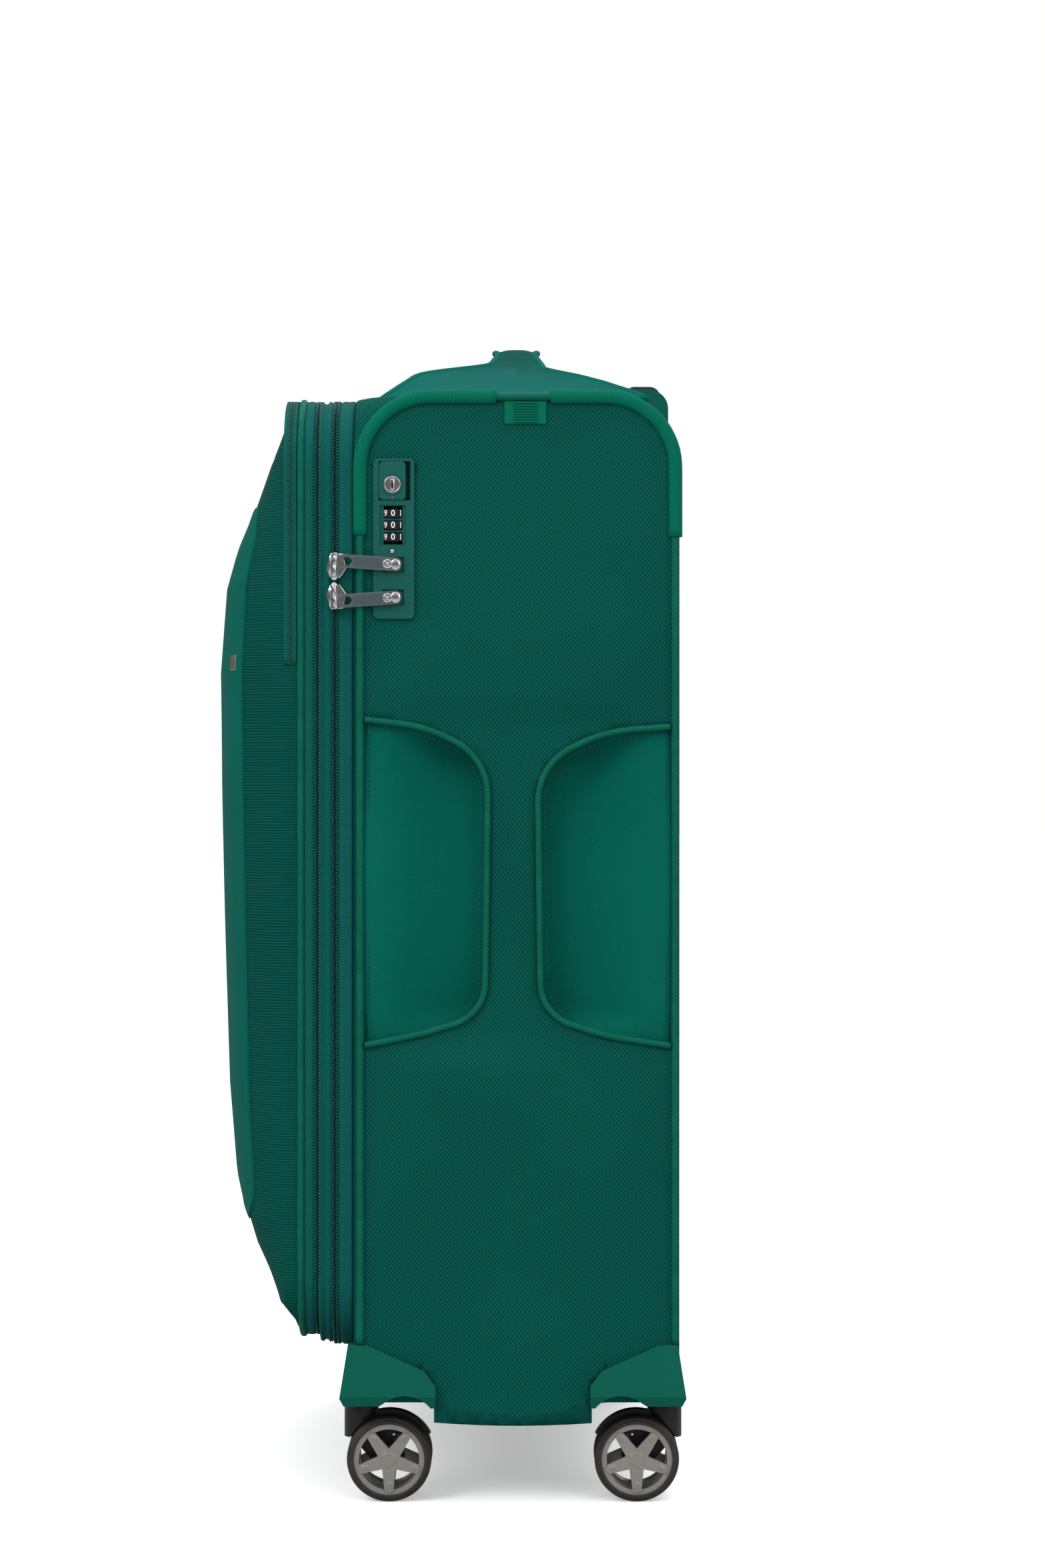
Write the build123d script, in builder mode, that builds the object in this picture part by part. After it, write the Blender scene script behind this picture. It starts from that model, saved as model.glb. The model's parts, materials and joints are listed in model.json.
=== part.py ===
"""Soft-sided expandable suitcase on four double-wheel casters.

X runs across the width, and +X is the side with the lock. Y runs from the front (-) to the
back (+), and Z is up. The origin is on the floor, under the middle of the whole suitcase.
"""
from build123d import *
from math import cos, radians, sin, sqrt
import os

os.makedirs("parts", exist_ok=True)

# Envelope, all sizes in millimetres
HALF_WIDTH = 225.0        # to the outside of the wheel housings
FRONT_Y = -145.0          # face of the padded front
FABRIC = 3.0              # foam and fabric wall of the case

# Case body
PANEL_X = 219.0           # outer face of both side panels
CASE_FRONT = -54.0
CASE_BACK = 141.0
CASE_TOP = 665.0
FOOT_Z = 74.5             # height of the centres of the two lower edge radii
FOOT_R = 22.0
FOOT_FRONT_Y = CASE_FRONT + FOOT_R
FOOT_BACK_Y = CASE_BACK - FOOT_R
BELLY_Z = 48.0            # lowest point of the sagging belly
BACK_R = 46.0             # rounded top edge at the back
SHOULDER_R = 46.0         # rounded top edge at the front of each side
SHOULDER_Y = -8.3
WELL_X = 150.0            # inner wall of the wheel wells
WELL_FRONT_Y = -6.0
WELL_REAR_Y = 88.5
WELL_Z = 82.0
SEAM_LOW = 53.8           # stitched lower edge of the side panels, in its middle
SEAM_END = 62.0           # and where it meets the wheel housings
TRAY_TOP = 94.0

# Piping
HOOP_X = 219.4
HOOP_R = 2.5
HOOP_FRONT = -50.3
HOOP_BACK = 138.5
HOOP_TOP = 664.0
HOOP_LOW = 97.5
HOOP_BEND = 42.0
TRIM_X = 222.2            # nothing on the lock side stands further out than this, but the pulls
CUTOUT_X = 220.2
CUTOUT_R = 2.0
GUARD_R = 4.2

# Bands of the main zip, and the front section
BAND_X = 216.5
BAND_TOP = 665.0
BAND_LOW = 91.2
BAND_R = 42.0
BAND_WALL = 2.5
LID_BACK = -65.7
FRONT_LOW = 97.0
FRONT_X = 216.0
FRONT_BACK_Y = -76.3
PIPING_R = 2.2
PIPING_Y = -86.0
OVERLAY_SKIN = 1.5
SHELL_WALL = 2.5

# Trolley handle
TUBE_X = 70.0
TUBE_Y = 126.5
BEZEL_X = 98.0
BEZEL_FRONT = 106.0
BEZEL_BACK = 139.0
BEZEL_LOW = 624.0
BEZEL_TOP = 681.0
POCKET_Z = 658.0

# Casters
CASTER_X = 190.0
MID_Y = 41.25             # the wheels are symmetric about this plane
STEM_REACH = 91.95        # from that plane to each swivel axis
TRAIL = 17.3
WHEEL_R = 25.5
WHEEL_Z = WHEEL_R
RIM_R = 21.3
WHEEL_IN = 6.0            # inner and outer face of a wheel, from the swivel axis
WHEEL_OUT = 18.0
AXLE_R = 2.5
KINGPIN_R = 4.0
HOOD_R = 28.2            # hood of the fork, over the gap between its two wheels
HOOD_LOW = 39.0
RUN = 0.05                # radial clearance of a running fit

# Lock
LOCK_Y = -30.9
LOCK_FACE = 221.0
DIAL_X = 213.6
DIAL_R = 8.0
DIAL_H = 5.1
DIAL_PITCH = 7.1
DIAL_MID_Z = 587.0
KEY_Z = 611.3
PIN_X = 223.3             # bridge bar that a pull tab turns on
PIN_Y = -65.0
LUG_R = 1.6               # bridge lugs are round about the bar, so that the tab can turn over


def save(piece, name):
    """Label a finished piece and write it as one sub-part."""
    piece.label = name
    export_step(piece, "parts/" + name + ".step")


def span(low, high, mode=Mode.ADD):
    """A box between two corners, for the builder that is open."""
    size = [b - a for a, b in zip(low, high)]
    middle = [(a + b) / 2 for a, b in zip(low, high)]
    with Locations(tuple(middle)):
        Box(*size, mode=mode)


def rounded(half, low, high, radius, mode=Mode.ADD):
    """Rounded rectangle about x = 0, for a sketch that is open."""
    with Locations((0, (low + high) / 2)):
        RectangleRounded(2 * half, high - low, radius, mode=mode)


def both(piece):
    """The piece and its mirror image across the middle plane."""
    with BuildPart() as pair:
        add(piece)
        mirror(about=Plane.YZ)
    return pair.part


# ------------------------------------------------------------------ case body
def shoulder_radius(y, inset):
    """Radius of the case's top edges where a section at y cuts the rounded shoulder."""
    reach = max(0.0, SHOULDER_Y - y)
    drop = SHOULDER_R - sqrt(SHOULDER_R ** 2 - min(reach, SHOULDER_R - 0.1) ** 2)
    return max(0.4, drop - inset)


def shoulder_form(inset):
    """The case seen from the front: square behind, with round corners at the zip."""
    stations = [CASE_FRONT - 0.2, -52.5, -50, -44, -34, -20, SHOULDER_Y]
    side = PANEL_X - inset
    with BuildPart() as form:
        for y in stations:
            with BuildSketch(Plane.XZ.offset(-y)):
                rounded(side, -150, CASE_TOP - inset, shoulder_radius(y, inset))
        loft(ruled=True)
        with BuildSketch(Plane.XZ.offset(-SHOULDER_Y)):
            rounded(side, -150, CASE_TOP - inset, 0.4)
        extrude(amount=-(CASE_BACK - SHOULDER_Y + 1))
    return form.part


def case_form(inset, wells=True):
    """Solid envelope of the case body, with every face moved inwards by inset."""
    front = CASE_FRONT + inset
    back = CASE_BACK - inset
    top = CASE_TOP - inset
    side = PANEL_X - inset
    foot = FOOT_R - inset
    crown_y = CASE_BACK - BACK_R
    crown_z = CASE_TOP - BACK_R
    shoulders = shoulder_form(inset)
    with BuildPart() as form:
        with BuildSketch(Plane.YZ.offset(-side)):
            with BuildLine():
                Line((front, FOOT_Z), (front, top))
                Line((front, top), (crown_y, top))
                CenterArc((crown_y, crown_z), BACK_R - inset, 0, 90)
                Line((back, crown_z), (back, FOOT_Z))
                CenterArc((FOOT_BACK_Y, FOOT_Z), foot, 270, 90)
                ThreePointArc((FOOT_FRONT_Y, FOOT_Z - foot), (MID_Y, BELLY_Z + inset),
                              (FOOT_BACK_Y, FOOT_Z - foot))
                CenterArc((FOOT_FRONT_Y, FOOT_Z), foot, 180, 90)
            make_face()
        extrude(amount=2 * side)
        add(shoulders, mode=Mode.INTERSECT)
        if wells:
            for low_y, high_y in ((-100, WELL_FRONT_Y + inset), (WELL_REAR_Y - inset, 200)):
                for low_x, high_x in ((-300, inset - WELL_X), (WELL_X - inset, 300)):
                    span((low_x, low_y, 0), (high_x, high_y, WELL_Z + inset), Mode.SUBTRACT)
    return form.part


def swept(line, radius):
    """A round cord along a wire of straight runs and tangent arcs."""
    with BuildPart() as cord:
        with BuildSketch(Plane(origin=line @ 0, z_dir=line % 0)):
            Circle(radius)
        sweep(path=line)
    return cord.part


def side_wire(points, bends, x):
    """A wire in the plane of the side panel."""
    with BuildLine(Plane.YZ.offset(x)) as wire:
        FilletPolyline(*points, radius=bends)
    return wire.line


CUTOUT_FRONT = [(-47.6, 470.8), (-10, 466.5), (26.5, 447), (24.5, 294), (-14, 282.5),
                (-47.6, 275.8)]
CUTOUT_BACK = [(135.8, 466.5), (96, 463.5), (56, 444), (58, 294), (97, 281.5), (135.8, 275.6)]
CUTOUT_BENDS = [90, 36, 26, 100]

case_outer = case_form(0)
case_inner = case_form(FABRIC)

hoop_wire = side_wire([(HOOP_FRONT, HOOP_LOW), (HOOP_FRONT, HOOP_TOP), (HOOP_BACK, HOOP_TOP),
                       (HOOP_BACK, HOOP_LOW)], HOOP_BEND, HOOP_X)
hoop = swept(hoop_wire, HOOP_R)
cutout_cords = [swept(side_wire(outline, CUTOUT_BENDS, CUTOUT_X), CUTOUT_R)
                for outline in (CUTOUT_FRONT, CUTOUT_BACK)]

with BuildPart() as shell:
    add(case_outer)
    add(case_inner, mode=Mode.SUBTRACT)
    with BuildSketch(Plane.XZ.offset(-CASE_FRONT + 5)):
        rounded(210, 107, 658, 33)
    extrude(amount=-20, mode=Mode.SUBTRACT)

with BuildPart() as cutouts:
    for outline in (CUTOUT_FRONT, CUTOUT_BACK):
        with BuildSketch(Plane.YZ.offset(PANEL_X - 10)):
            with BuildLine():
                edge = FilletPolyline(*outline, radius=CUTOUT_BENDS)
                Line(edge @ 1, edge @ 0)
            make_face()
        extrude(amount=20)

with BuildPart() as panel_zone:
    with BuildSketch(Plane.YZ.offset(-300)):
        with BuildLine():
            ThreePointArc((WELL_FRONT_Y, SEAM_END), (MID_Y, SEAM_LOW), (WELL_REAR_Y, SEAM_END))
            Polyline((WELL_REAR_Y, SEAM_END), (200, SEAM_END), (200, 800), (-200, 800),
                     (-200, SEAM_END), (WELL_FRONT_Y, SEAM_END))
        make_face()
    extrude(amount=600)

with BuildPart() as side_layers:
    span((PANEL_X - FABRIC, -200, 0), (300, 200, 800))
    span((-300, -200, 0), (FABRIC - PANEL_X, 200, 800))
    add(panel_zone.part, mode=Mode.INTERSECT)

with BuildPart() as side_panels:
    add(case_form(0, wells=False))
    add(case_form(FABRIC, wells=False), mode=Mode.SUBTRACT)
    add(side_layers.part, mode=Mode.INTERSECT)

with BuildPart() as lock_side_panel:
    add(side_panels.part)
    span((0, -200, 0), (300, 200, 800), Mode.INTERSECT)
    add(cutouts.part, mode=Mode.SUBTRACT)
    add(hoop, mode=Mode.SUBTRACT)
    for cord in cutout_cords:
        add(cord, mode=Mode.SUBTRACT)
    span((200, -40.5, 534), (230, -18.8, 626.5), Mode.SUBTRACT)

hoop_left = mirror(hoop, about=Plane.YZ)
with BuildPart() as hinge_side_panel:
    add(side_panels.part)
    span((-300, -200, 0), (0, 200, 800), Mode.INTERSECT)
    add(hoop_left, mode=Mode.SUBTRACT)

with BuildPart() as bottom_tray:
    add(shell.part)
    span((-300, -200, 0), (300, 200, TRAY_TOP), Mode.INTERSECT)
    add(side_layers.part, mode=Mode.SUBTRACT)

with BuildPart() as back_and_top_panel:
    add(shell.part)
    span((FABRIC - PANEL_X, -200, TRAY_TOP), (PANEL_X - FABRIC, 200, 800), Mode.INTERSECT)
    span((-BEZEL_X, BEZEL_FRONT, BEZEL_LOW), (BEZEL_X, 200, 800), Mode.SUBTRACT)

# The padded tray behind the carry strap, open towards the side
RECESS_LOW = 272.0
RECESS_HIGH = 475.0
with BuildPart() as side_handle_recess:
    with BuildSketch(Plane.XY.offset(RECESS_LOW)):
        with BuildLine():
            Polyline((216, -47), (212, -35), (195, 8), (195, 74), (212, 124), (216, 135), close=True)
        make_face()
    extrude(amount=RECESS_HIGH - RECESS_LOW)
    with BuildSketch(Plane.XY.offset(RECESS_LOW + 2)):
        with BuildLine():
            Polyline((216, -43), (214.4, -35), (197, 8), (197, 74), (214.4, 124), (216, 131), close=True)
        make_face()
    extrude(amount=RECESS_HIGH - RECESS_LOW - 4, mode=Mode.SUBTRACT)

with BuildPart() as edge_piping:
    add(hoop)
    add(hoop_left)
    for cord in cutout_cords:
        add(cord)
    span((-TRIM_X, -300, 0), (TRIM_X, 300, 900), Mode.INTERSECT)

guard_wires = [
    side_wire([(31, HOOP_TOP), (HOOP_FRONT, HOOP_TOP), (HOOP_FRONT, 581)], HOOP_BEND, HOOP_X),
    side_wire([(63.8, HOOP_TOP), (HOOP_BACK, HOOP_TOP), (HOOP_BACK, 580)], HOOP_BEND, HOOP_X),
]
with BuildPart() as guards_right:
    for wire in guard_wires:
        add(swept(wire, GUARD_R))
    span((200, CASE_FRONT + 0.3, 400), (TRIM_X, 300, 900), Mode.INTERSECT)
    add(case_outer, mode=Mode.SUBTRACT)
    add(hoop, mode=Mode.SUBTRACT)
corner_guards = both(guards_right.part)

# ------------------------------------------------------------------ zip bands
def band(front, back, half, low, high, radius, wall):
    """A flat band that runs round the opening."""
    with BuildPart() as strip:
        with BuildSketch(Plane.XZ.offset(-back)):
            rounded(half, low, high, radius)
            rounded(half - wall, low + wall, high - wall, radius - wall, Mode.SUBTRACT)
        extrude(amount=back - front)
    return strip.part


case_zip_tape = band(-65.3, CASE_FRONT - 0.05, BAND_X, BAND_LOW, BAND_TOP, BAND_R, BAND_WALL)
gusset_back = LID_BACK - 0.3
lid_zip_tape = band(-75.9, LID_BACK, BAND_X, BAND_LOW, BAND_TOP, BAND_R, BAND_WALL)
gusset = band(-77.5, gusset_back, 213.0, FRONT_LOW + 3.6, 661.0, 39, 1.4)
with BuildPart() as lid_bands:
    add(lid_zip_tape)
    add(gusset)
    add(band(-71, gusset_back, 214.2, FRONT_LOW + 0.4, 663.0, 40, 3.2))
    add(case_outer, mode=Mode.SUBTRACT)


# -------------------------------------------------------------- front section
FRONT_LEVELS = [(95, -96), (109, -102), (120, -112), (151, -127), (170, -133), (245, -139),
                (339, -141.5), (432, -144), (502, FRONT_Y), (554, -141), (601, -127.5), (630, -117),
                (648, -108), (660, -99), (668, -93)]
SIGHT_Y = 47.0            # the front curves back towards this plane at its sides
SIDE_EASE = 0.9235
CROWN_X = 186.0


def front_section(z, face, half):
    """Level section of the front: straight sides, round corners and a low crown."""
    rear = FRONT_BACK_Y + 1
    edge = SIGHT_Y + (face - SIGHT_Y) * SIDE_EASE
    start = min(rear - 0.8, max(-93.0, edge + 5))
    corner = (-half - 1, start)
    run_x = corner[0] + CROWN_X
    run_y = start - edge
    via = ((corner[0] - CROWN_X) / 2 - 0.1 * run_y, (start + edge) / 2 + 0.1 * run_x)
    with BuildSketch(Plane.XY.offset(z)) as section:
        with BuildLine():
            Line((corner[0], rear), corner)
            ThreePointArc(corner, via, (-CROWN_X, edge))
            ThreePointArc((-CROWN_X, edge), (0, face), (CROWN_X, edge))
            ThreePointArc((CROWN_X, edge), (-via[0], via[1]), (-corner[0], start))
            Line((-corner[0], start), (-corner[0], rear))
            Line((-corner[0], rear), (corner[0], rear))
        make_face()
    return section.sketch


def front_form(sink, inset):
    """Envelope of the front, its face sunk by sink and its rim drawn in by inset."""
    low = FRONT_LOW + 0.5 + inset
    high = CASE_TOP - 0.5 - inset
    half = FRONT_X - inset
    sections = [front_section(z, face + sink, half) for z, face in FRONT_LEVELS]
    with BuildPart() as form:
        loft(sections, ruled=True)
        with BuildSketch(Plane.XZ.offset(-FRONT_BACK_Y)):
            rounded(half, low, high, BAND_R - inset)
        extrude(amount=100, mode=Mode.INTERSECT)
    return form.part


front_outer = front_form(OVERLAY_SKIN, 0)
front_inner = front_form(OVERLAY_SKIN + SHELL_WALL, SHELL_WALL - 1)
with BuildPart() as front_shell:
    add(front_outer)
    add(front_inner, mode=Mode.SUBTRACT)

overlay_form = front_form(0, -1)
with BuildPart() as front_overlay:
    with BuildSketch(Plane.XZ.offset(100)):
        rounded(196, 167, 601, 24)
    extrude(amount=60)
    add(overlay_form, mode=Mode.INTERSECT)
    add(front_outer, mode=Mode.SUBTRACT)

with BuildLine(Plane.XZ.offset(-PIPING_Y)) as piping_wire:
    FilletPolyline((FRONT_X, FRONT_LOW + 0.6), (FRONT_X, CASE_TOP - 0.6),
                   (-FRONT_X, CASE_TOP - 0.6), (-FRONT_X, FRONT_LOW + 0.6),
                   radius=BAND_R, close=True)
with BuildPart() as front_piping:
    add(swept(piping_wire.line, PIPING_R))
    add(front_outer, mode=Mode.SUBTRACT)

with BuildPart() as pocket_zip:
    add(band(-95.5, -89, FRONT_X + 1.6, FRONT_LOW, CASE_TOP + 1.1, BAND_R + 1.6, 12))
    span((-300, -200, 504), (300, 0, 800), Mode.INTERSECT)
    add(front_outer, mode=Mode.SUBTRACT)

badge_form = front_form(-0.8, -2)
with BuildPart() as badge:
    add(badge_form)
    span((152, -160, 501), (192, -100, 510.5), Mode.INTERSECT)
    add(overlay_form, mode=Mode.SUBTRACT)

# ----------------------------------------------------------------- top handle
HANDLE_TOP = 714.0
HANDLE_ARCH = 533.0
HANDLE_Y = 43.0
with BuildPart() as top_handle:
    with BuildSketch(Plane.XZ.offset(100)):
        with Locations((0, HANDLE_TOP - HANDLE_ARCH)):
            Circle(HANDLE_ARCH)
            Circle(HANDLE_ARCH - 5.5, mode=Mode.SUBTRACT)
        with Locations((0, CASE_TOP + 100.05)):
            Rectangle(428, 200, mode=Mode.INTERSECT)
    extrude(amount=-200)
    with BuildSketch(Plane.XY.offset(600)):
        with BuildLine() as fan:
            Spline((0, 12.5), (88, 13), (112, 20), (134, 41), (156, 57), (183, 68), (214, 77))
            Line((214, 77), (214, 0))
            Line((214, 0), (0, 0))
            Line((0, 0), (0, 12.5))
        make_face()
        mirror(about=Plane.XZ)
        mirror(about=Plane.YZ)
    extrude(amount=200, mode=Mode.INTERSECT)
with BuildPart() as grip_core:
    with BuildSketch(Plane.XZ.offset(12)):
        with Locations((0, HANDLE_TOP - HANDLE_ARCH)):
            Circle(HANDLE_ARCH - 1)
            Circle(HANDLE_ARCH - 14, mode=Mode.SUBTRACT)
        with Locations((0, CASE_TOP + 100)):
            Rectangle(136, 200, mode=Mode.INTERSECT)
    extrude(amount=-24)
    fillet(grip_core.edges().filter_by(lambda e: e.length > 100), radius=4)
with BuildPart() as carry_handle:
    add(top_handle.part)
    add(grip_core.part)
carry_handle = carry_handle.part.moved(Location((0, HANDLE_Y, 0)))

# ------------------------------------------------------------- trolley handle
def tube_pair(wide, deep, wall, low, high):
    """Two rectangular tubes of the telescopic handle."""
    with BuildPart() as tubes:
        with BuildSketch(Plane.XY.offset(low)):
            with Locations((-TUBE_X, TUBE_Y), (TUBE_X, TUBE_Y)):
                RectangleRounded(wide, deep, 3)
                RectangleRounded(wide - 2 * wall, deep - 2 * wall, 3 - wall / 2, mode=Mode.SUBTRACT)
        extrude(amount=high - low)
    return tubes.part


outer_tubes = tube_pair(22, 14, 1.3, 68, BEZEL_LOW)
middle_tubes = tube_pair(19, 11, 1.2, 376, 646)
inner_tubes = tube_pair(16, 8, 1.0, 380, 660)

with BuildPart() as handle_bezel:
    span((-BEZEL_X, BEZEL_FRONT, BEZEL_LOW), (BEZEL_X, BEZEL_BACK, BEZEL_TOP))
    fillet(handle_bezel.edges().filter_by(Axis.X).group_by(Axis.Z)[-1].sort_by(Axis.Y)[-1:], 12)
    fillet(handle_bezel.edges().filter_by(Axis.X).group_by(Axis.Z)[-1].sort_by(Axis.Y)[:1], 5)
    span((-90, 110, POCKET_Z), (90, 135.5, 800), Mode.SUBTRACT)
    span((-42, 100, POCKET_Z + 9), (42, 112, 800), Mode.SUBTRACT)
    with BuildSketch(Plane.XY.offset(BEZEL_LOW)):
        with Locations((-TUBE_X, TUBE_Y), (TUBE_X, TUBE_Y)):
            RectangleRounded(19.4, 11.4, 2.2)
    extrude(amount=100, mode=Mode.SUBTRACT)

GRIP_LOW = 660.0
GRIP_TOP = 684.0
GRIP_Y = 122.8
with BuildPart() as pull_grip:
    with BuildSketch(Plane.YZ.offset(-88)):
        with Locations((GRIP_Y, (GRIP_LOW + GRIP_TOP) / 2)):
            RectangleRounded(23.4, GRIP_TOP - GRIP_LOW, 7)
    extrude(amount=176)
    with Locations((-TUBE_X, TUBE_Y, GRIP_LOW), (TUBE_X, TUBE_Y, GRIP_LOW)):
        Box(18, 10, 20, mode=Mode.SUBTRACT)
    span((-20.3, GRIP_Y - 4.3, GRIP_TOP - 9), (20.3, GRIP_Y + 4.3, 720), Mode.SUBTRACT)
with BuildPart() as inner_with_plugs:
    add(inner_tubes)
    with Locations((-TUBE_X, TUBE_Y, GRIP_LOW + 5), (TUBE_X, TUBE_Y, GRIP_LOW + 5)):
        Box(17.6, 9.6, 10)
inner_tubes = inner_with_plugs.part

with BuildPart() as grip_button:
    span((-20, GRIP_Y - 4, GRIP_TOP - 4), (20, GRIP_Y + 4, GRIP_TOP + 3))
    fillet(grip_button.faces().sort_by(Axis.Z)[-1].edges(), 2)

# -------------------------------------------------------------- wheel housings
STEM_FRONT = MID_Y - STEM_REACH
SCREWS = [(176.0, -16.0), (208.0, -16.0), (211.0, -54.0)]
SCREW_R = 1.6
SOCKET_R = 14.0


def housing_front_right():
    """The moulded corner that carries a caster, filling the well and lapping the panel."""
    with BuildPart() as body:
        with BuildSketch(Plane.YZ.offset(WELL_X)):
            with BuildLine():
                Polyline((-57.5, 97), (-46, 96.3), (-11.9, 81.2), (-5.1, 72.3), (-5.1, 58.8),
                         (-8, 58.8))
                ThreePointArc((-8, 58.8), (-21, 66.5), (-36, 62))
                Polyline((-36, 62), (-39, 60), (-60, 60), (-62.5, 65), (-57.5, 97))
            make_face()
        extrude(amount=HALF_WIDTH - WELL_X)
        with BuildSketch(Plane.XZ.offset(100)):
            with BuildLine():
                Polyline((221, 57), (HALF_WIDTH, 66), (221.5, 97), (208, 96.5), (172, 84), (160, 74),
                         (158, 57), (221, 57))
            make_face()
        extrude(amount=-200, mode=Mode.INTERSECT)
        add(case_outer, mode=Mode.SUBTRACT)
    return body.part


with BuildPart() as hollow:
    span((163, -57.5, 69), (218.5, -9, WELL_Z))
    with BuildSketch(Plane.XY.offset(60)):
        with Locations((CASTER_X, STEM_FRONT)):
            Circle(SOCKET_R)
        with Locations(*SCREWS):
            Circle(4.2)
    extrude(amount=40, mode=Mode.SUBTRACT)

with BuildPart() as housing:
    add(housing_front_right())
    add(hollow.part, mode=Mode.SUBTRACT)
    with BuildSketch(Plane.XY.offset(50)):
        with Locations((CASTER_X, STEM_FRONT)):
            Circle(KINGPIN_R + RUN)
    extrude(amount=30.5, mode=Mode.SUBTRACT)
    with BuildSketch(Plane.XY.offset(50)):
        with Locations(*SCREWS):
            Circle(SCREW_R + RUN)
    extrude(amount=60, mode=Mode.SUBTRACT)
    with BuildSketch(Plane.XY.offset(50)):
        with Locations(*SCREWS):
            Circle(3.3)
    extrude(amount=17, mode=Mode.SUBTRACT)
MIRROR_Y = Plane.XZ.offset(-MID_Y)


def four_corners(piece):
    """The front right piece, copied to the other three corners."""
    with BuildPart() as all_four:
        add(piece)
        mirror(about=MIRROR_Y)
        mirror(about=Plane.YZ)
    return all_four.part


with BuildPart() as wheel_housings:
    add(four_corners(housing.part))
    add(case_outer, mode=Mode.SUBTRACT)
fitted_panels = []
for panel in (lock_side_panel, hinge_side_panel):
    with BuildPart() as fitted:
        add(panel.part)
        add(wheel_housings.part, mode=Mode.SUBTRACT)
    fitted_panels.append(fitted.part)
with BuildPart() as screw_set:
    with BuildSketch(Plane.XY.offset(65)):
        with Locations(*SCREWS):
            Circle(3.0)
    extrude(amount=2)
    with BuildSketch(Plane.XY.offset(67)):
        with Locations(*SCREWS):
            Circle(SCREW_R)
    extrude(amount=17)
housing_screws = four_corners(screw_set.part)

with BuildPart() as screw_holes:
    with BuildSketch(Plane.XY.offset(WELL_Z - 1)):
        with Locations(*SCREWS):
            Circle(SCREW_R + RUN)
    extrude(amount=6)
screw_holes = four_corners(screw_holes.part)
with BuildPart() as drilled_tray:
    add(bottom_tray.part)
    add(screw_holes, mode=Mode.SUBTRACT)

# -------------------------------------------------------------------- casters
def fork(stem_y, wheel_y):
    """Swivel fork: a stem cup, and a web that runs down between the two wheels."""
    side = 1 if wheel_y > stem_y else -1
    with BuildPart() as body:
        with BuildSketch(Plane.YZ.offset(-4.5)):
            with Locations((wheel_y, WHEEL_Z)):
                Circle(HOOD_R)
            with Locations((wheel_y, HOOD_LOW + HOOD_R)):
                Rectangle(4 * HOOD_R, 2 * HOOD_R, mode=Mode.INTERSECT)
            with Locations((wheel_y, WHEEL_Z)):
                Circle(9)
            with BuildLine():
                Polyline((stem_y - side * 9.2, 54), (stem_y - side * 8.4, 40), (wheel_y - side * 6, 18),
                         (wheel_y + side * 7, 27), (stem_y + side * 10, 54), (stem_y - side * 9.2, 54))
            make_face()
        extrude(amount=9)
        with BuildSketch(Plane.XY.offset(WHEEL_Z + 12)):
            with Locations((0, stem_y)):
                Circle(10.2)
        extrude(amount=58.5 - WHEEL_Z - 12)
        with BuildSketch(Plane.YZ.offset(-20)):
            with Locations((wheel_y, WHEEL_Z)):
                Circle(WHEEL_R + 1.2)
        extrude(amount=20 - 5, mode=Mode.SUBTRACT)
        with BuildSketch(Plane.YZ.offset(5)):
            with Locations((wheel_y, WHEEL_Z)):
                Circle(WHEEL_R + 1.2)
        extrude(amount=20, mode=Mode.SUBTRACT)
        with BuildSketch(Plane.XY.offset(56)):
            with Locations((0, stem_y)):
                Circle(KINGPIN_R + 0.02)
        extrude(amount=20, mode=Mode.SUBTRACT)
        with BuildSketch(Plane.YZ.offset(-20)):
            with Locations((wheel_y, WHEEL_Z)):
                Circle(AXLE_R + 0.02)
        extrude(amount=40, mode=Mode.SUBTRACT)
    return body.part


def axle_set(stem_y, wheel_y):
    """Steel kingpin and steel axle of one caster."""
    with BuildPart() as steel:
        with BuildSketch(Plane.XY.offset(56)):
            with Locations((0, stem_y)):
                Circle(KINGPIN_R)
        extrude(amount=24)
        with BuildSketch(Plane.YZ.offset(-(WHEEL_OUT - 0.5))):
            with Locations((wheel_y, WHEEL_Z)):
                Circle(AXLE_R)
        extrude(amount=2 * WHEEL_OUT - 1)
    return steel.part


HUB_R = 6.2
SPOKES = 5
SPOKE_TURN = 360 / SPOKES


def rim(wheel_y):
    """Five-spoke rim between x = WHEEL_IN and WHEEL_OUT, spoked on its outer face."""
    with BuildPart() as body:
        with BuildSketch(Plane.YZ.offset(WHEEL_IN)):
            with Locations((wheel_y, WHEEL_Z)):
                Circle(RIM_R)
                Circle(18.2, mode=Mode.SUBTRACT)
                Circle(HUB_R)
        extrude(amount=WHEEL_OUT - WHEEL_IN - 1.5)
        with BuildSketch(Plane.YZ.offset(WHEEL_OUT - 3.6)):
            with Locations((wheel_y, WHEEL_Z)):
                with PolarLocations(0, SPOKES, start_angle=-90):
                    Polygon((2.0, -4.4), (16.6, -2.9), (16.6, 2.9), (2.0, 4.4), align=None)
                with PolarLocations(16.6, SPOKES, start_angle=-90):
                    Circle(2.9)
        extrude(amount=3.6)
        with BuildSketch(Plane.YZ.offset(WHEEL_OUT - 3.6)):
            with Locations((wheel_y, WHEEL_Z)):
                Circle(HUB_R)
        extrude(amount=3.6)
        with BuildSketch(Plane.YZ.offset(0)):
            with Locations((wheel_y, WHEEL_Z)):
                Circle(AXLE_R + RUN)
        extrude(amount=WHEEL_OUT - 0.4, mode=Mode.SUBTRACT)
    return body.part


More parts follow.
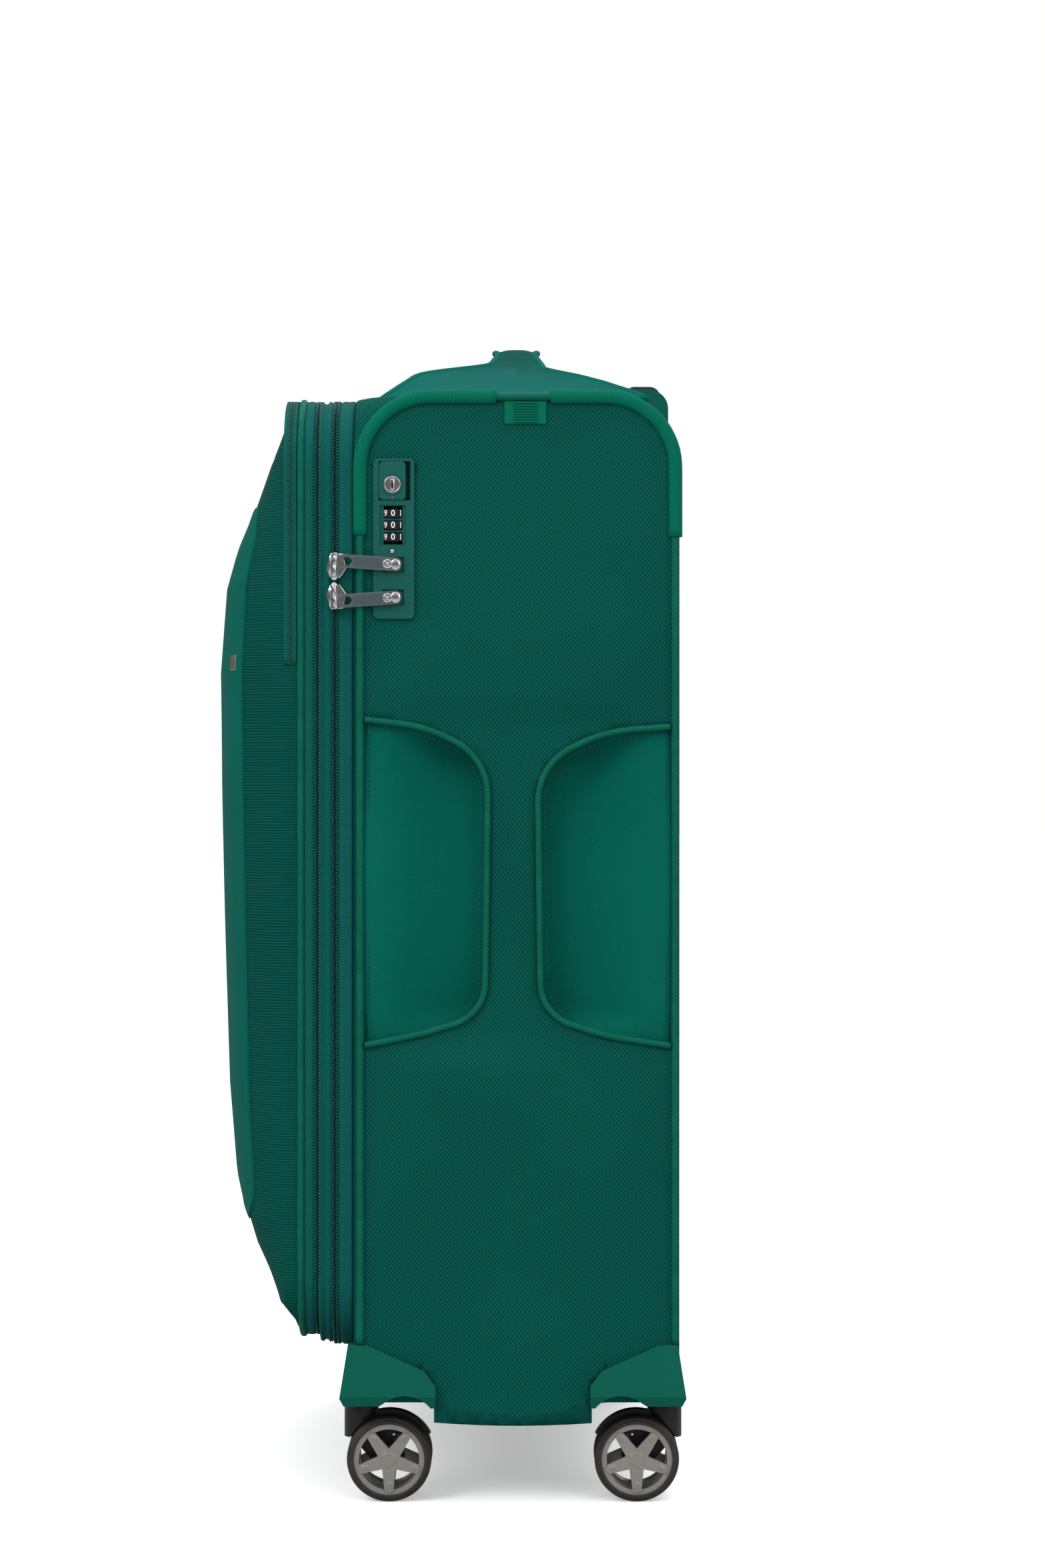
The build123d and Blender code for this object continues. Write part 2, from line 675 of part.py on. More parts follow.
def tyre(wheel_y):
    """Soft tyre with a stepped side wall, turned about the axle."""
    axle_line = Axis((0, wheel_y, WHEEL_Z), (1, 0, 0))
    with BuildPart() as body:
        with BuildSketch(Plane(origin=(0, wheel_y, WHEEL_Z), x_dir=(1, 0, 0), z_dir=(0, -1, 0))):
            with BuildLine():
                Polyline((WHEEL_IN, RIM_R), (WHEEL_IN, 24), (WHEEL_IN + 1.5, WHEEL_R),
                         (WHEEL_OUT - 3.5, WHEEL_R), (WHEEL_OUT - 1.6, 24.7), (WHEEL_OUT - 1.4, 23.6),
                         (WHEEL_OUT - 0.4, 23.1), (WHEEL_OUT - 0.1, RIM_R), (WHEEL_IN, RIM_R))
            make_face()
        revolve(axis=axle_line)
    return body.part


stem_rear = MID_Y + STEM_REACH
corners = {
    "front_right": (CASTER_X, STEM_FRONT, STEM_FRONT + TRAIL),
    "front_left": (-CASTER_X, STEM_FRONT, STEM_FRONT + TRAIL),
    "rear_right": (CASTER_X, stem_rear, stem_rear - TRAIL),
    "rear_left": (-CASTER_X, stem_rear, stem_rear - TRAIL),
}
for corner, (x, stem_y, wheel_y) in corners.items():
    place = Location((x, 0, 0))
    right_rim = rim(wheel_y)
    right_tyre = tyre(wheel_y)
    left_rim = mirror(right_rim, about=Plane.YZ)
    left_tyre = mirror(right_tyre, about=Plane.YZ)
    outer_first = x > 0
    save(fork(stem_y, wheel_y).moved(place), "fork_" + corner)
    save(axle_set(stem_y, wheel_y).moved(place), "axle_" + corner)
    save((right_rim if outer_first else left_rim).moved(place), "outer_rim_" + corner)
    save((right_tyre if outer_first else left_tyre).moved(place), "outer_tyre_" + corner)
    save((left_rim if outer_first else right_rim).moved(place), "inner_rim_" + corner)
    save((left_tyre if outer_first else right_tyre).moved(place), "inner_tyre_" + corner)

# ------------------------------------------------------------------------ lock
SLOTS = [(543.9, 4.6), (563.3, 4.6)]
with BuildPart() as lock_plate:
    with BuildSketch(Plane.YZ.offset(PANEL_X)):
        with Locations((-30.05, 579)):
            RectangleRounded(24.5, 96, 3)
    extrude(amount=LOCK_FACE - PANEL_X)
    span((205, -40, 534.5), (PANEL_X, -19.2, 626))
    span((213.4, -39.0, 601.8), (240, -20.1, 625.2), Mode.SUBTRACT)
    span((219.8, -38.4, 575), (240, -22.8, 599), Mode.SUBTRACT)
    with BuildSketch(Plane.XY.offset(DIAL_MID_Z - 11.5)):
        with Locations((DIAL_X, -30.45)):
            Circle(DIAL_R + 0.4)
    extrude(amount=23, mode=Mode.SUBTRACT)
    for z, half in SLOTS:
        span((219.2, -37, z - half), (240, -23.8, z + half), Mode.SUBTRACT)
    with BuildSketch(Plane.YZ.offset(LOCK_FACE - 0.8)):
        with Locations((LOCK_Y, 571.5)):
            Circle(1.7)
    extrude(amount=5, mode=Mode.SUBTRACT)
    with BuildSketch(Plane.XY.offset(DIAL_MID_Z - 12)):
        with Locations((DIAL_X, -30.45)):
            Circle(1.2)
    extrude(amount=24)
    for z in (DIAL_MID_Z - DIAL_PITCH / 2, DIAL_MID_Z + DIAL_PITCH / 2):
        span((205.5, -39, z - 0.6), (219.8, -22.4, z + 0.6))

for number, offset_z in enumerate((DIAL_PITCH, 0, -DIAL_PITCH), start=1):
    with BuildPart() as dial:
        with BuildSketch(Plane.XY.offset(DIAL_MID_Z + offset_z - DIAL_H / 2)):
            with Locations((DIAL_X, -30.45)):
                RegularPolygon(DIAL_R, 10, major_radius=True, rotation=18)
                Circle(1.2 + RUN, mode=Mode.SUBTRACT)
        extrude(amount=DIAL_H)
    save(dial.part, "number_wheel_" + str(number))

with BuildPart() as lock_button:
    span((213.7, -38.8, 602), (221.8, -22.8, 625))
    fillet(lock_button.edges().filter_by(Axis.X), 2.4)
    fillet(lock_button.faces().sort_by(Axis.X)[-1].edges(), 0.8)
    with BuildSketch(Plane.YZ.offset(215.5)):
        with Locations((LOCK_Y, KEY_Z)):
            Circle(5.3 + RUN)
    extrude(amount=10, mode=Mode.SUBTRACT)

with BuildPart() as key_cylinder:
    with BuildSketch(Plane.YZ.offset(215.6)):
        with Locations((LOCK_Y, KEY_Z)):
            Circle(5.3)
    extrude(amount=222.0 - 215.6)
    with BuildSketch(Plane.YZ.offset(217)):
        with Locations((LOCK_Y, KEY_Z)):
            Rectangle(1.3, 6)
    extrude(amount=10, mode=Mode.SUBTRACT)

# ------------------------------------------------------------- sliders and tabs
def pull_plane(z, tilt, x):
    """Plane of a pull: local x along the tab, local y along its hinge bar."""
    along = (0, cos(radians(tilt)), sin(radians(tilt)))
    return Plane(origin=(x, PIN_Y, z), x_dir=along, z_dir=(1, 0, 0))


def bar_plane(z, tilt, start):
    """Plane across the hinge bar, start away from the tab's centre line."""
    up = (0, -sin(radians(tilt)), cos(radians(tilt)))
    origin = (PIN_X, PIN_Y + start * up[1], z + start * up[2])
    return Plane(origin=origin, x_dir=(1, 0, 0), z_dir=up)


def slider(z, tilt, way):
    """Zip slider with its bridge; way is +1 when the slider's nose points down."""
    with BuildPart() as body:
        with BuildSketch(pull_plane(z, tilt, 217.8)):
            Polygon((-5.2, -4.5 * way), (-2.8, -10.2 * way), (3.5, -10.2 * way), (7, -4.5 * way),
                    (4.5, 4.5 * way), (-3, 4.5 * way), align=None)
        extrude(amount=2.4)
        fillet(body.faces().sort_by(Axis.X)[-1].edges(), 0.7)
        for low, high in ((3.0, 4.5), (-9.4, -3.0)):
            with BuildSketch(bar_plane(z, tilt, min(way * low, way * high))):
                Circle(LUG_R)
                with Locations((220 - PIN_X, 0)):
                    Rectangle(PIN_X - 220, 2 * LUG_R, align=(Align.MIN, Align.CENTER))
            extrude(amount=high - low)
        with BuildSketch(bar_plane(z, tilt, -3.5)):
            Circle(1.0)
        extrude(amount=7)
    return body.part


def pull_tab(z, tilt):
    """Flat pull with a barrel on the hinge bar, a D hole and a dimple near its tip."""
    with BuildPart() as tab:
        with BuildSketch(pull_plane(z, tilt, 222.5)):
            with Locations((20.8, 0)):
                RectangleRounded(37.6, 8.1, 3.4)
            with Locations((1.2, 0)):
                Rectangle(2.4, 5.2)
            with Locations((7.3, 0)):
                SlotOverall(5.6, 5.0, mode=Mode.SUBTRACT)
        extrude(amount=2.1)
        with BuildSketch(pull_plane(z, tilt, 224.1)):
            with Locations((31.4, 0)):
                Circle(2.2)
        extrude(amount=1, mode=Mode.SUBTRACT)
        with BuildSketch(bar_plane(z, tilt, -2.6)):
            Circle(1.65)
        extrude(amount=5.2)
        with BuildSketch(bar_plane(z, tilt, -3)):
            Circle(1.0 + RUN)
        extrude(amount=6, mode=Mode.SUBTRACT)
    return tab.part


UPPER_PULL = (565.8, -3.9)
LOWER_PULL = (541.2, 3.9)
save(slider(*UPPER_PULL, 1), "upper_slider")
save(pull_tab(*UPPER_PULL), "upper_pull_tab")
save(slider(*LOWER_PULL, -1), "lower_slider")
save(pull_tab(*LOWER_PULL), "lower_pull_tab")

# -------------------------------------------------------- lining, straps, tab
lining_outer = case_form(3.3)
lining_inner = case_form(4.1)
with BuildPart() as lining_void:
    add(lining_inner)
    span((-300, -300, 88.8), (300, 116.2, 800), Mode.INTERSECT)
with BuildPart() as case_lining:
    add(lining_outer)
    span((-300, -300, 88), (300, 117, 800), Mode.INTERSECT)
    add(lining_void.part, mode=Mode.SUBTRACT)
    with BuildSketch(Plane.XZ.offset(60)):
        rounded(206, 111, 654, 29)
    extrude(amount=-15, mode=Mode.SUBTRACT)
    span((193, -52, 268), (300, 140, 479), Mode.SUBTRACT)
    span((203, -44, 526), (300, -16, 632), Mode.SUBTRACT)
    span((-99, 105, 619), (99, 200, 800), Mode.SUBTRACT)

with BuildPart() as packing_straps:
    for x in (-60, 60):
        span((x - 11, 114.6, 120), (x + 11, 116.1, 600))
        span((x - 17, 108, 330), (x + 17, 114.5, 356))

with BuildPart() as webbing_tab:
    span((PANEL_X, 36.2, 647.8), (PANEL_X + 1.2, 61.2, 661.2))
    for rib in range(8):
        z = 648.6 + 1.6 * rib
        span((PANEL_X + 1, 42, z), (PANEL_X + 2, 55.6, z + 0.9))

finished = {
    "back_and_top_panel": back_and_top_panel.part,
    "bottom_tray": drilled_tray.part,
    "lock_side_panel": fitted_panels[0],
    "side_handle_recess": side_handle_recess.part,
    "hinge_side_panel": fitted_panels[1],
    "edge_piping": edge_piping.part,
    "corner_guards": corner_guards,
    "wheel_housings": wheel_housings.part,
    "housing_screws": housing_screws,
    "handle_outer_tubes": outer_tubes,
    "handle_bezel": handle_bezel.part,
    "lock_plate": lock_plate.part,
    "case_zip_tape": case_zip_tape,
    "top_handle": carry_handle,
    "case_lining": case_lining.part,
    "packing_straps": packing_straps.part,
    "webbing_tab": webbing_tab.part,
    "lid_bands": lid_bands.part,
    "front_shell": front_shell.part,
    "front_piping": front_piping.part,
    "front_overlay": front_overlay.part,
    "pocket_zip": pocket_zip.part,
    "badge": badge.part,
    "lock_button": lock_button.part,
    "key_cylinder": key_cylinder.part,
    "handle_middle_tubes": middle_tubes,
    "handle_inner_tubes": inner_tubes,
    "pull_grip": pull_grip.part,
    "grip_button": grip_button.part,
}
for name, piece in finished.items():
    save(piece, name)
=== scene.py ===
"""Soft expandable suitcase on four double casters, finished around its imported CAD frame."""
import json
from math import atan2, cos, exp, pi, radians, sin, sqrt

import bmesh
import bpy
from bpy.props import FloatProperty, FloatVectorProperty, PointerProperty
from mathutils import Matrix, Vector, noise


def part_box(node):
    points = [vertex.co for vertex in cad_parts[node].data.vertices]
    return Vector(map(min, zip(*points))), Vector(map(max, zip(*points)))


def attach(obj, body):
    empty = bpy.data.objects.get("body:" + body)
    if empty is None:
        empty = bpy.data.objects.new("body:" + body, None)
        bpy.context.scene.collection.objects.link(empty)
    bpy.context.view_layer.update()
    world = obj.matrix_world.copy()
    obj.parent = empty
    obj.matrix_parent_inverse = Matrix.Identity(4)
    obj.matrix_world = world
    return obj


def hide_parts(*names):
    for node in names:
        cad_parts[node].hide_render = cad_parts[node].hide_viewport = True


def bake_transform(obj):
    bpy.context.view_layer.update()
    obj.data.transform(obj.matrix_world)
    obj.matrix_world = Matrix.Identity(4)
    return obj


bl_info = {
    "name": "Soft expandable suitcase",
    "version": (1, 0, 0),
    "blender": (4, 5, 0),
    "location": "View3D > Sidebar > Suitcase",
    "description": "Builds the fabric, zips, trim and finishes of a soft suitcase on its CAD frame",
    "category": "Object",
}

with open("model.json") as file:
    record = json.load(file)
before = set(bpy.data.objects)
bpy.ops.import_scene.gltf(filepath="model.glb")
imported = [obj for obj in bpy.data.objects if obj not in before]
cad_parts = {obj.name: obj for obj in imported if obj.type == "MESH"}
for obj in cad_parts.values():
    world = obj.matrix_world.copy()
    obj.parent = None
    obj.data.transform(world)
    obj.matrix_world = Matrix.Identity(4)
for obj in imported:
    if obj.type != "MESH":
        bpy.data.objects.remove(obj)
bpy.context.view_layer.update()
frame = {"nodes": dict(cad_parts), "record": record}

MM = 0.001
BAND_LOW, BAND_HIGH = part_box("case_zip_tape")
FRONT_BOX_LOW, FRONT_BOX_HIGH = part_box("front_shell")

BAND_X = BAND_HIGH[0]
BAND_TOP = BAND_HIGH[2]
BAND_BASE = BAND_LOW[2]
FRONT_X = FRONT_BOX_HIGH[0]
FRONT_BASE = FRONT_BOX_LOW[2]
FRONT_TOP = FRONT_BOX_HIGH[2]
RING_BEND = 42 * MM

# Heights and depths that the trim follows, in millimetres, as the part's own drawing has them
HOOP = [(-50.3, 97.5), (-50.3, 664.0), (138.5, 664.0), (138.5, 97.5)]
HOOP_BEND = 42.0
HOOP_X = 219.4
HOOP_R = 2.5
CUTOUT_X = 220.2
CUTOUT_R = 2.0
CUTOUT_FRONT = [(-47.6, 470.8), (-10, 466.5), (26.5, 447), (24.5, 294), (-14, 282.5), (-47.6, 275.8)]
CUTOUT_BACK = [(135.8, 466.5), (96, 463.5), (56, 444), (58, 294), (97, 281.5), (135.8, 275.6)]
CUTOUT_BENDS = [90, 36, 26, 100]
HOOP_SEAM = [(-45.0, 99.0), (-45.0, 658.7), (133.2, 658.7), (133.2, 99.0)]
HOOP_SEAM_BEND = 37.0
SEAM_X = 219.15
GUARD_FRONT = [(31, 664.0), (-50.3, 664.0), (-50.3, 581)]
GUARD_BACK = [(63.8, 664.0), (138.5, 664.0), (138.5, 580)]
ZIP_Y = -65.5
EXPANSION_Y = -76.1
PIPING_Y = -86.0
POCKET_Y = -92.2
POCKET_LOW = 504.0
HANDLE_TOP = 714.0
HANDLE_ARCH = 533.0
HANDLE_Y = 43.0
HANDLE_END = 214.0
# Each pull's height, its tilt in degrees and the side of its slider that the zip runs to
PULLS = ((565.8, -3.9, 1), (541.2, 3.9, -1))
PULL_X = 223.3
PULL_Y = -65.0
DIAL_Y = -30.45
DIAL_X = 213.6
DIAL_R = 8.0
DIAL_LEVELS = (594.1, 587.0, 579.9)
KEY_X = 222.0
KEY_Y = -30.9
KEY_Z = 611.3
FACETS = 10


# ------------------------------------------------------------------ sizes and colours
def colour_setting(name, description, default):
    """One colour property, stored as scene-linear red, green and blue."""
    return FloatVectorProperty(name=name, description=description, subtype="COLOR", size=3,
                               min=0.0, max=1.0, default=default)


def size_setting(name, description, default):
    """One length property in metres."""
    return FloatProperty(name=name, description=description, unit="LENGTH", min=0.0, default=default)


class SuitcaseColours(bpy.types.PropertyGroup):
    """Colours of the cloth, trim, plastics and metals."""
    body: colour_setting("Body", "Basket weave of the case", (0.0012, 0.068, 0.054))
    smooth: colour_setting("Smooth", "Plain cloth of the hand recess", (0.0010, 0.112, 0.081))
    ribbed: colour_setting("Ribbed", "Ribbed cloth round the front", (0.0010, 0.062, 0.049))
    overlay: colour_setting("Overlay", "Padded front panel", (0.0018, 0.100, 0.076))
    handle: colour_setting("Handle", "Stretch cloth of the top handle", (0.0010, 0.112, 0.094))
    tape: colour_setting("Zip tape", "Herringbone zip tape", (0.0030, 0.092, 0.080))
    piping: colour_setting("Piping", "Covered cord along the edges", (0.0010, 0.096, 0.062))
    guard: colour_setting("Guard", "Corner sleeves and webbing", (0.0010, 0.118, 0.072))
    lining: colour_setting("Lining", "Lining cloth inside", (0.034, 0.042, 0.048))
    belly: colour_setting("Belly", "Plain cloth under the case", (0.0010, 0.050, 0.040))
    housing: colour_setting("Housing", "Moulded wheel housings", (0.0008, 0.090, 0.061))
    lock: colour_setting("Lock", "Moulded lock plate", (0.0070, 0.086, 0.070))
    grip: colour_setting("Grip", "Pull handle and its collar", (0.0060, 0.040, 0.034))
    rim: colour_setting("Rim", "Metallic paint of the rims", (0.265, 0.252, 0.226))
    tyre: colour_setting("Tyre", "Soft rubber of the tyres", (0.022, 0.020, 0.018))


class SuitcaseSizes(bpy.types.PropertyGroup):
    """Sizes of the sewn detail."""
    weave: size_setting("Weave", "Pitch of the basket weave", 2.6 * MM)
    rib: size_setting("Rib", "Pitch of the ribbed cloth", 1.7 * MM)
    tooth: size_setting("Tooth", "Pitch of the zip teeth", 1.9 * MM)
    stitch: size_setting("Stitch", "Pitch of the stitches", 3.2 * MM)
    dice: size_setting("Dice", "Cell size of the soft panels", 7 * MM)
    crown: size_setting("Crown", "How far a panel swells in its middle", 2.6 * MM)


def colours():
    """The colour settings."""
    return bpy.context.scene.suitcase_colours


def sizes():
    """The size settings."""
    return bpy.context.scene.suitcase_sizes


# ------------------------------------------------------------------ materials
class Nodes:
    """Short calls for a node tree."""

    def __init__(self, name):
        self.material = bpy.data.materials.new(name)
        self.material.use_nodes = True
        self.tree = self.material.node_tree
        self.shader = self.tree.nodes["Principled BSDF"]

    def node(self, kind, **values):
        """A new node, with its settings and input values."""
        made = self.tree.nodes.new(kind)
        for key, value in values.items():
            setattr(made, key, value)
        return made

    def wire(self, source, target):
        """A link, or a plain value set on the socket."""
        if isinstance(source, bpy.types.NodeSocket):
            self.tree.links.new(source, target)
        else:
            target.default_value = source

    def math(self, operation, first, second=0.0):
        """One Math node's result."""
        made = self.node("ShaderNodeMath", operation=operation)
        self.wire(first, made.inputs[0])
        self.wire(second, made.inputs[1])
        return made.outputs[0]

    def blend(self, amount, first, second):
        """Two colours mixed by amount."""
        made = self.node("ShaderNodeMix", data_type="RGBA")
        self.wire(amount, made.inputs[0])
        self.wire(first, made.inputs[6])
        self.wire(second, made.inputs[7])
        return made.outputs[2]

    def place(self, scale=1.0, turn=0.0, own_map=True):
        """Coordinates on the piece's own map or on Object, scaled and turned."""
        if own_map:
            source = self.node("ShaderNodeUVMap", uv_map="cloth").outputs[0]
        else:
            source = self.node("ShaderNodeTexCoord").outputs["Object"]
        mapping = self.node("ShaderNodeMapping")
        self.wire(source, mapping.inputs["Vector"])
        mapping.inputs["Scale"].default_value = (scale, scale, scale)
        mapping.inputs["Rotation"].default_value = (0, 0, turn)
        return mapping.outputs[0]

    def parts(self, vector):
        """The three numbers of a vector."""
        made = self.node("ShaderNodeSeparateXYZ")
        self.wire(vector, made.inputs[0])
        return made.outputs

    def cloud(self, scale, detail=3.0):
        """Soft noise on Object coordinates, from 0 to 1."""
        made = self.node("ShaderNodeTexNoise")
        self.wire(self.place(own_map=False), made.inputs["Vector"])
        made.inputs["Scale"].default_value = scale
        made.inputs["Detail"].default_value = detail
        return made.outputs[0]

    def raise_up(self, height, distance, strength=1.0):
        """Bump from a height between 0 and 1, distance deep in metres."""
        made = self.node("ShaderNodeBump")
        made.inputs["Strength"].default_value = strength
        made.inputs["Distance"].default_value = distance
        self.wire(height, made.inputs["Height"])
        self.wire(made.outputs[0], self.shader.inputs["Normal"])

    def paint(self, amount, dark, light):
        """Base colour between two shades."""
        self.wire(self.blend(amount, (*dark, 1), (*light, 1)), self.shader.inputs["Base Color"])

    def surface(self, roughness=0.5, metallic=0.0, specular=0.5, coat=0.0):
        """Values that are the same all over."""
        self.shader.inputs["Roughness"].default_value = roughness
        self.shader.inputs["Metallic"].default_value = metallic
        self.shader.inputs["Specular IOR Level"].default_value = specular
        self.shader.inputs["Coat Weight"].default_value = coat
        self.shader.inputs["Coat Roughness"].default_value = 0.2


def shade(colour, factor):
    """A lighter or darker version of a colour."""
    return tuple(min(1.0, channel * factor) for channel in colour)


def basket_cloth(name, colour, pitch, depth=0.35 * MM):
    """Coarse basket weave: staggered raised knots, with painted shade darkening the gaps and painted light
    on the knot tops.
    """
    cloth = Nodes(name)
    u, v, _ = cloth.parts(cloth.place(2 * pi / pitch))
    rows = cloth.math("SINE", cloth.math("MULTIPLY", v, 0.9))
    knots = cloth.math("MULTIPLY", cloth.math("SINE", u), rows)
    height = cloth.math("MULTIPLY_ADD", knots, 0.5)
    height.node.inputs[2].default_value = 0.5
    patches = cloth.cloud(9.0)
    # Painted shade and light: the colour follows the knot height, dark in the gaps and light on the knots;
    # the cloud adds random tone.
    mixed = cloth.math("ADD", cloth.math("MULTIPLY", height, 0.75), cloth.math("MULTIPLY", patches, 0.3))
    cloth.paint(mixed, shade(colour, 0.42), shade(colour, 1.5))
    cloth.raise_up(height, depth)
    cloth.surface(roughness=0.62, specular=0.03)
    return cloth.material


def plain_cloth(name, colour, pitch=0.7 * MM, roughness=0.7, specular=0.03):
    """Fine plain weave that reads as smooth cloth, softly uneven in tone, with a faint painted shade in the
    hollows between its threads.
    """
    cloth = Nodes(name)
    u, v, _ = cloth.parts(cloth.place(2 * pi / pitch))
    threads = cloth.math("MULTIPLY", cloth.math("SINE", u), cloth.math("SINE", v))
    patches = cloth.cloud(7.0)
    # Random tone from the cloud, plus a faint painted shade that follows the thread height.
    mixed = cloth.math("ADD", patches, cloth.math("MULTIPLY", threads, 0.12))
    cloth.paint(mixed, shade(colour, 0.78), shade(colour, 1.22))
    cloth.raise_up(cloth.math("ADD", threads, cloth.cloud(60.0)), 0.08 * MM)
    cloth.surface(roughness=roughness, specular=specular)
    return cloth.material


def ribbed_cloth(name, colour, pitch, turned=False, depth=0.3 * MM):
    """Ribs along the cloth's first direction, or along its second when turned, painted darker in the valleys
    as shade and lighter on the crests.
    """
    cloth = Nodes(name)
    u, v, _ = cloth.parts(cloth.place(2 * pi / pitch))
    across, along = (u, v) if turned else (v, u)
    broken = cloth.math("MULTIPLY", cloth.math("SINE", cloth.math("MULTIPLY", along, 0.8)), 0.5)
    ribs = cloth.math("SINE", cloth.math("ADD", across, broken))
    height = cloth.math("MULTIPLY_ADD", ribs, 0.5)
    height.node.inputs[2].default_value = 0.5
    patches = cloth.math("MULTIPLY", cloth.cloud(8.0), 0.35)
    # Painted shade: the colour follows the rib height, dark in the valleys and light on the crests; the
    # cloud adds random tone.
    mixed = cloth.math("ADD", cloth.math("MULTIPLY", height, 0.7), patches)
    cloth.paint(mixed, shade(colour, 0.5), shade(colour, 1.4))
    cloth.raise_up(height, depth)
    cloth.surface(roughness=0.65, specular=0.03)
    return cloth.material


def herringbone_tape(name, colour, pitch=1.5 * MM, width=5 * MM):
    """Woven tape whose twill turns back at the middle of each width, painted darker in the twill's grooves
    as shade.
    """
    cloth = Nodes(name)
    u, v, _ = cloth.parts(cloth.place())
    turn_back = cloth.math("PINGPONG", v, width / 2)
    slant = cloth.math("MULTIPLY", cloth.math("ADD", u, turn_back), 2 * pi / pitch)
    height = cloth.math("MULTIPLY_ADD", cloth.math("SINE", slant), 0.5)
    height.node.inputs[2].default_value = 0.5
    patches = cloth.math("MULTIPLY", cloth.cloud(12.0), 0.2)
    # Painted shade: the colour follows the twill height, dark in the grooves and light on the ridges; the
    # cloud adds random tone.
    mixed = cloth.math("ADD", cloth.math("MULTIPLY", height, 0.8), patches)
    cloth.paint(mixed, shade(colour, 0.5), shade(colour, 1.45))
    cloth.raise_up(height, 0.25 * MM)
    cloth.surface(roughness=0.6, specular=0.05)
    return cloth.material


def wrapped_cord(name, colour, pitch=2.2 * MM):
    """Covered cord with faint slanted folds in its cover, painted darker in their creases as shade."""
    cover = Nodes(name)
    u, v, _ = cover.parts(cover.place())
    slant = cover.math("MULTIPLY", cover.math("ADD", u, cover.math("MULTIPLY", v, 0.6)), 2 * pi / pitch)
    folds = cover.math("MULTIPLY", cover.math("SINE", slant), 0.25)
    height = cover.math("ADD", folds, cover.cloud(90.0))
    # Painted shade: the colour follows the fold height, darker in the creases; the cloud adds random tone.
    cover.paint(height, shade(colour, 0.7), shade(colour, 1.25))
    cover.raise_up(height, 0.12 * MM)
    cover.surface(roughness=0.5, specular=0.07)
    return cover.material


def moulded(name, colour, roughness=0.42, grain=900.0, depth=0.05 * MM, specular=0.3, coat=0.0):
    """Injection moulded plastic with a fine grain and soft wear."""
    skin = Nodes(name)
    fine = skin.cloud(grain, 2.0)
    broad = skin.cloud(14.0)
    skin.paint(skin.math("ADD", skin.math("MULTIPLY", fine, 0.25), skin.math("MULTIPLY", broad, 0.75)),
               shade(colour, 0.84), shade(colour, 1.16))
    skin.raise_up(fine, depth)
    skin.surface(roughness=roughness, specular=specular, coat=coat)
    skin.wire(skin.math("MULTIPLY_ADD", broad, 0.12), skin.shader.inputs["Roughness"])
    skin.shader.inputs["Roughness"].links[0].from_node.inputs[2].default_value = roughness - 0.06
    return skin.material


def metal(name, colour, roughness, streak=0.0, specular=0.5):
    """Metal with a faint haze, brushed along one way when streak is set."""
    skin = Nodes(name)
    haze = skin.cloud(40.0)
    if streak:
        place = skin.place(own_map=False)
        place.node.inputs["Scale"].default_value = (60.0, 60.0, streak)
        lines = skin.node("ShaderNodeTexNoise")
        skin.wire(place, lines.inputs["Vector"])
        lines.inputs["Scale"].default_value = 20.0
        haze = lines.outputs[0]
        skin.raise_up(haze, 0.03 * MM)
    skin.paint(haze, shade(colour, 0.85), shade(colour, 1.12))
    skin.surface(roughness=roughness, metallic=1.0, specular=specular)
    return skin.material


def rim_paint(name, colour):
    """Metallic grey paint with fine flake."""
    skin = Nodes(name)
    flake = skin.cloud(2600.0, 1.0)
    patches = skin.math("MULTIPLY", skin.cloud(30.0), 0.4)
    mixed = skin.math("ADD", skin.math("MULTIPLY", flake, 0.6), patches)
    skin.paint(mixed, shade(colour, 0.7), shade(colour, 1.35))
    skin.raise_up(flake, 0.01 * MM)
    skin.surface(roughness=0.34, metallic=0.5, coat=0.25)
    return skin.material


def rubber(name, colour):
    """Soft matt rubber with dust in its pores."""
    skin = Nodes(name)
    dust = skin.cloud(160.0, 5.0)
    skin.paint(skin.math("MULTIPLY", dust, 0.8), shade(colour, 0.6), shade(colour, 1.9))
    skin.raise_up(skin.cloud(1400.0), 0.05 * MM)
    skin.surface(roughness=0.6, specular=0.35)
    return skin.material


def plain_thread(name, colour):
    """Sewing thread."""
    skin = Nodes(name)
    skin.paint(skin.cloud(900.0), shade(colour, 0.7), shade(colour, 1.3))
    skin.surface(roughness=0.55, specular=0.3)
    return skin.material


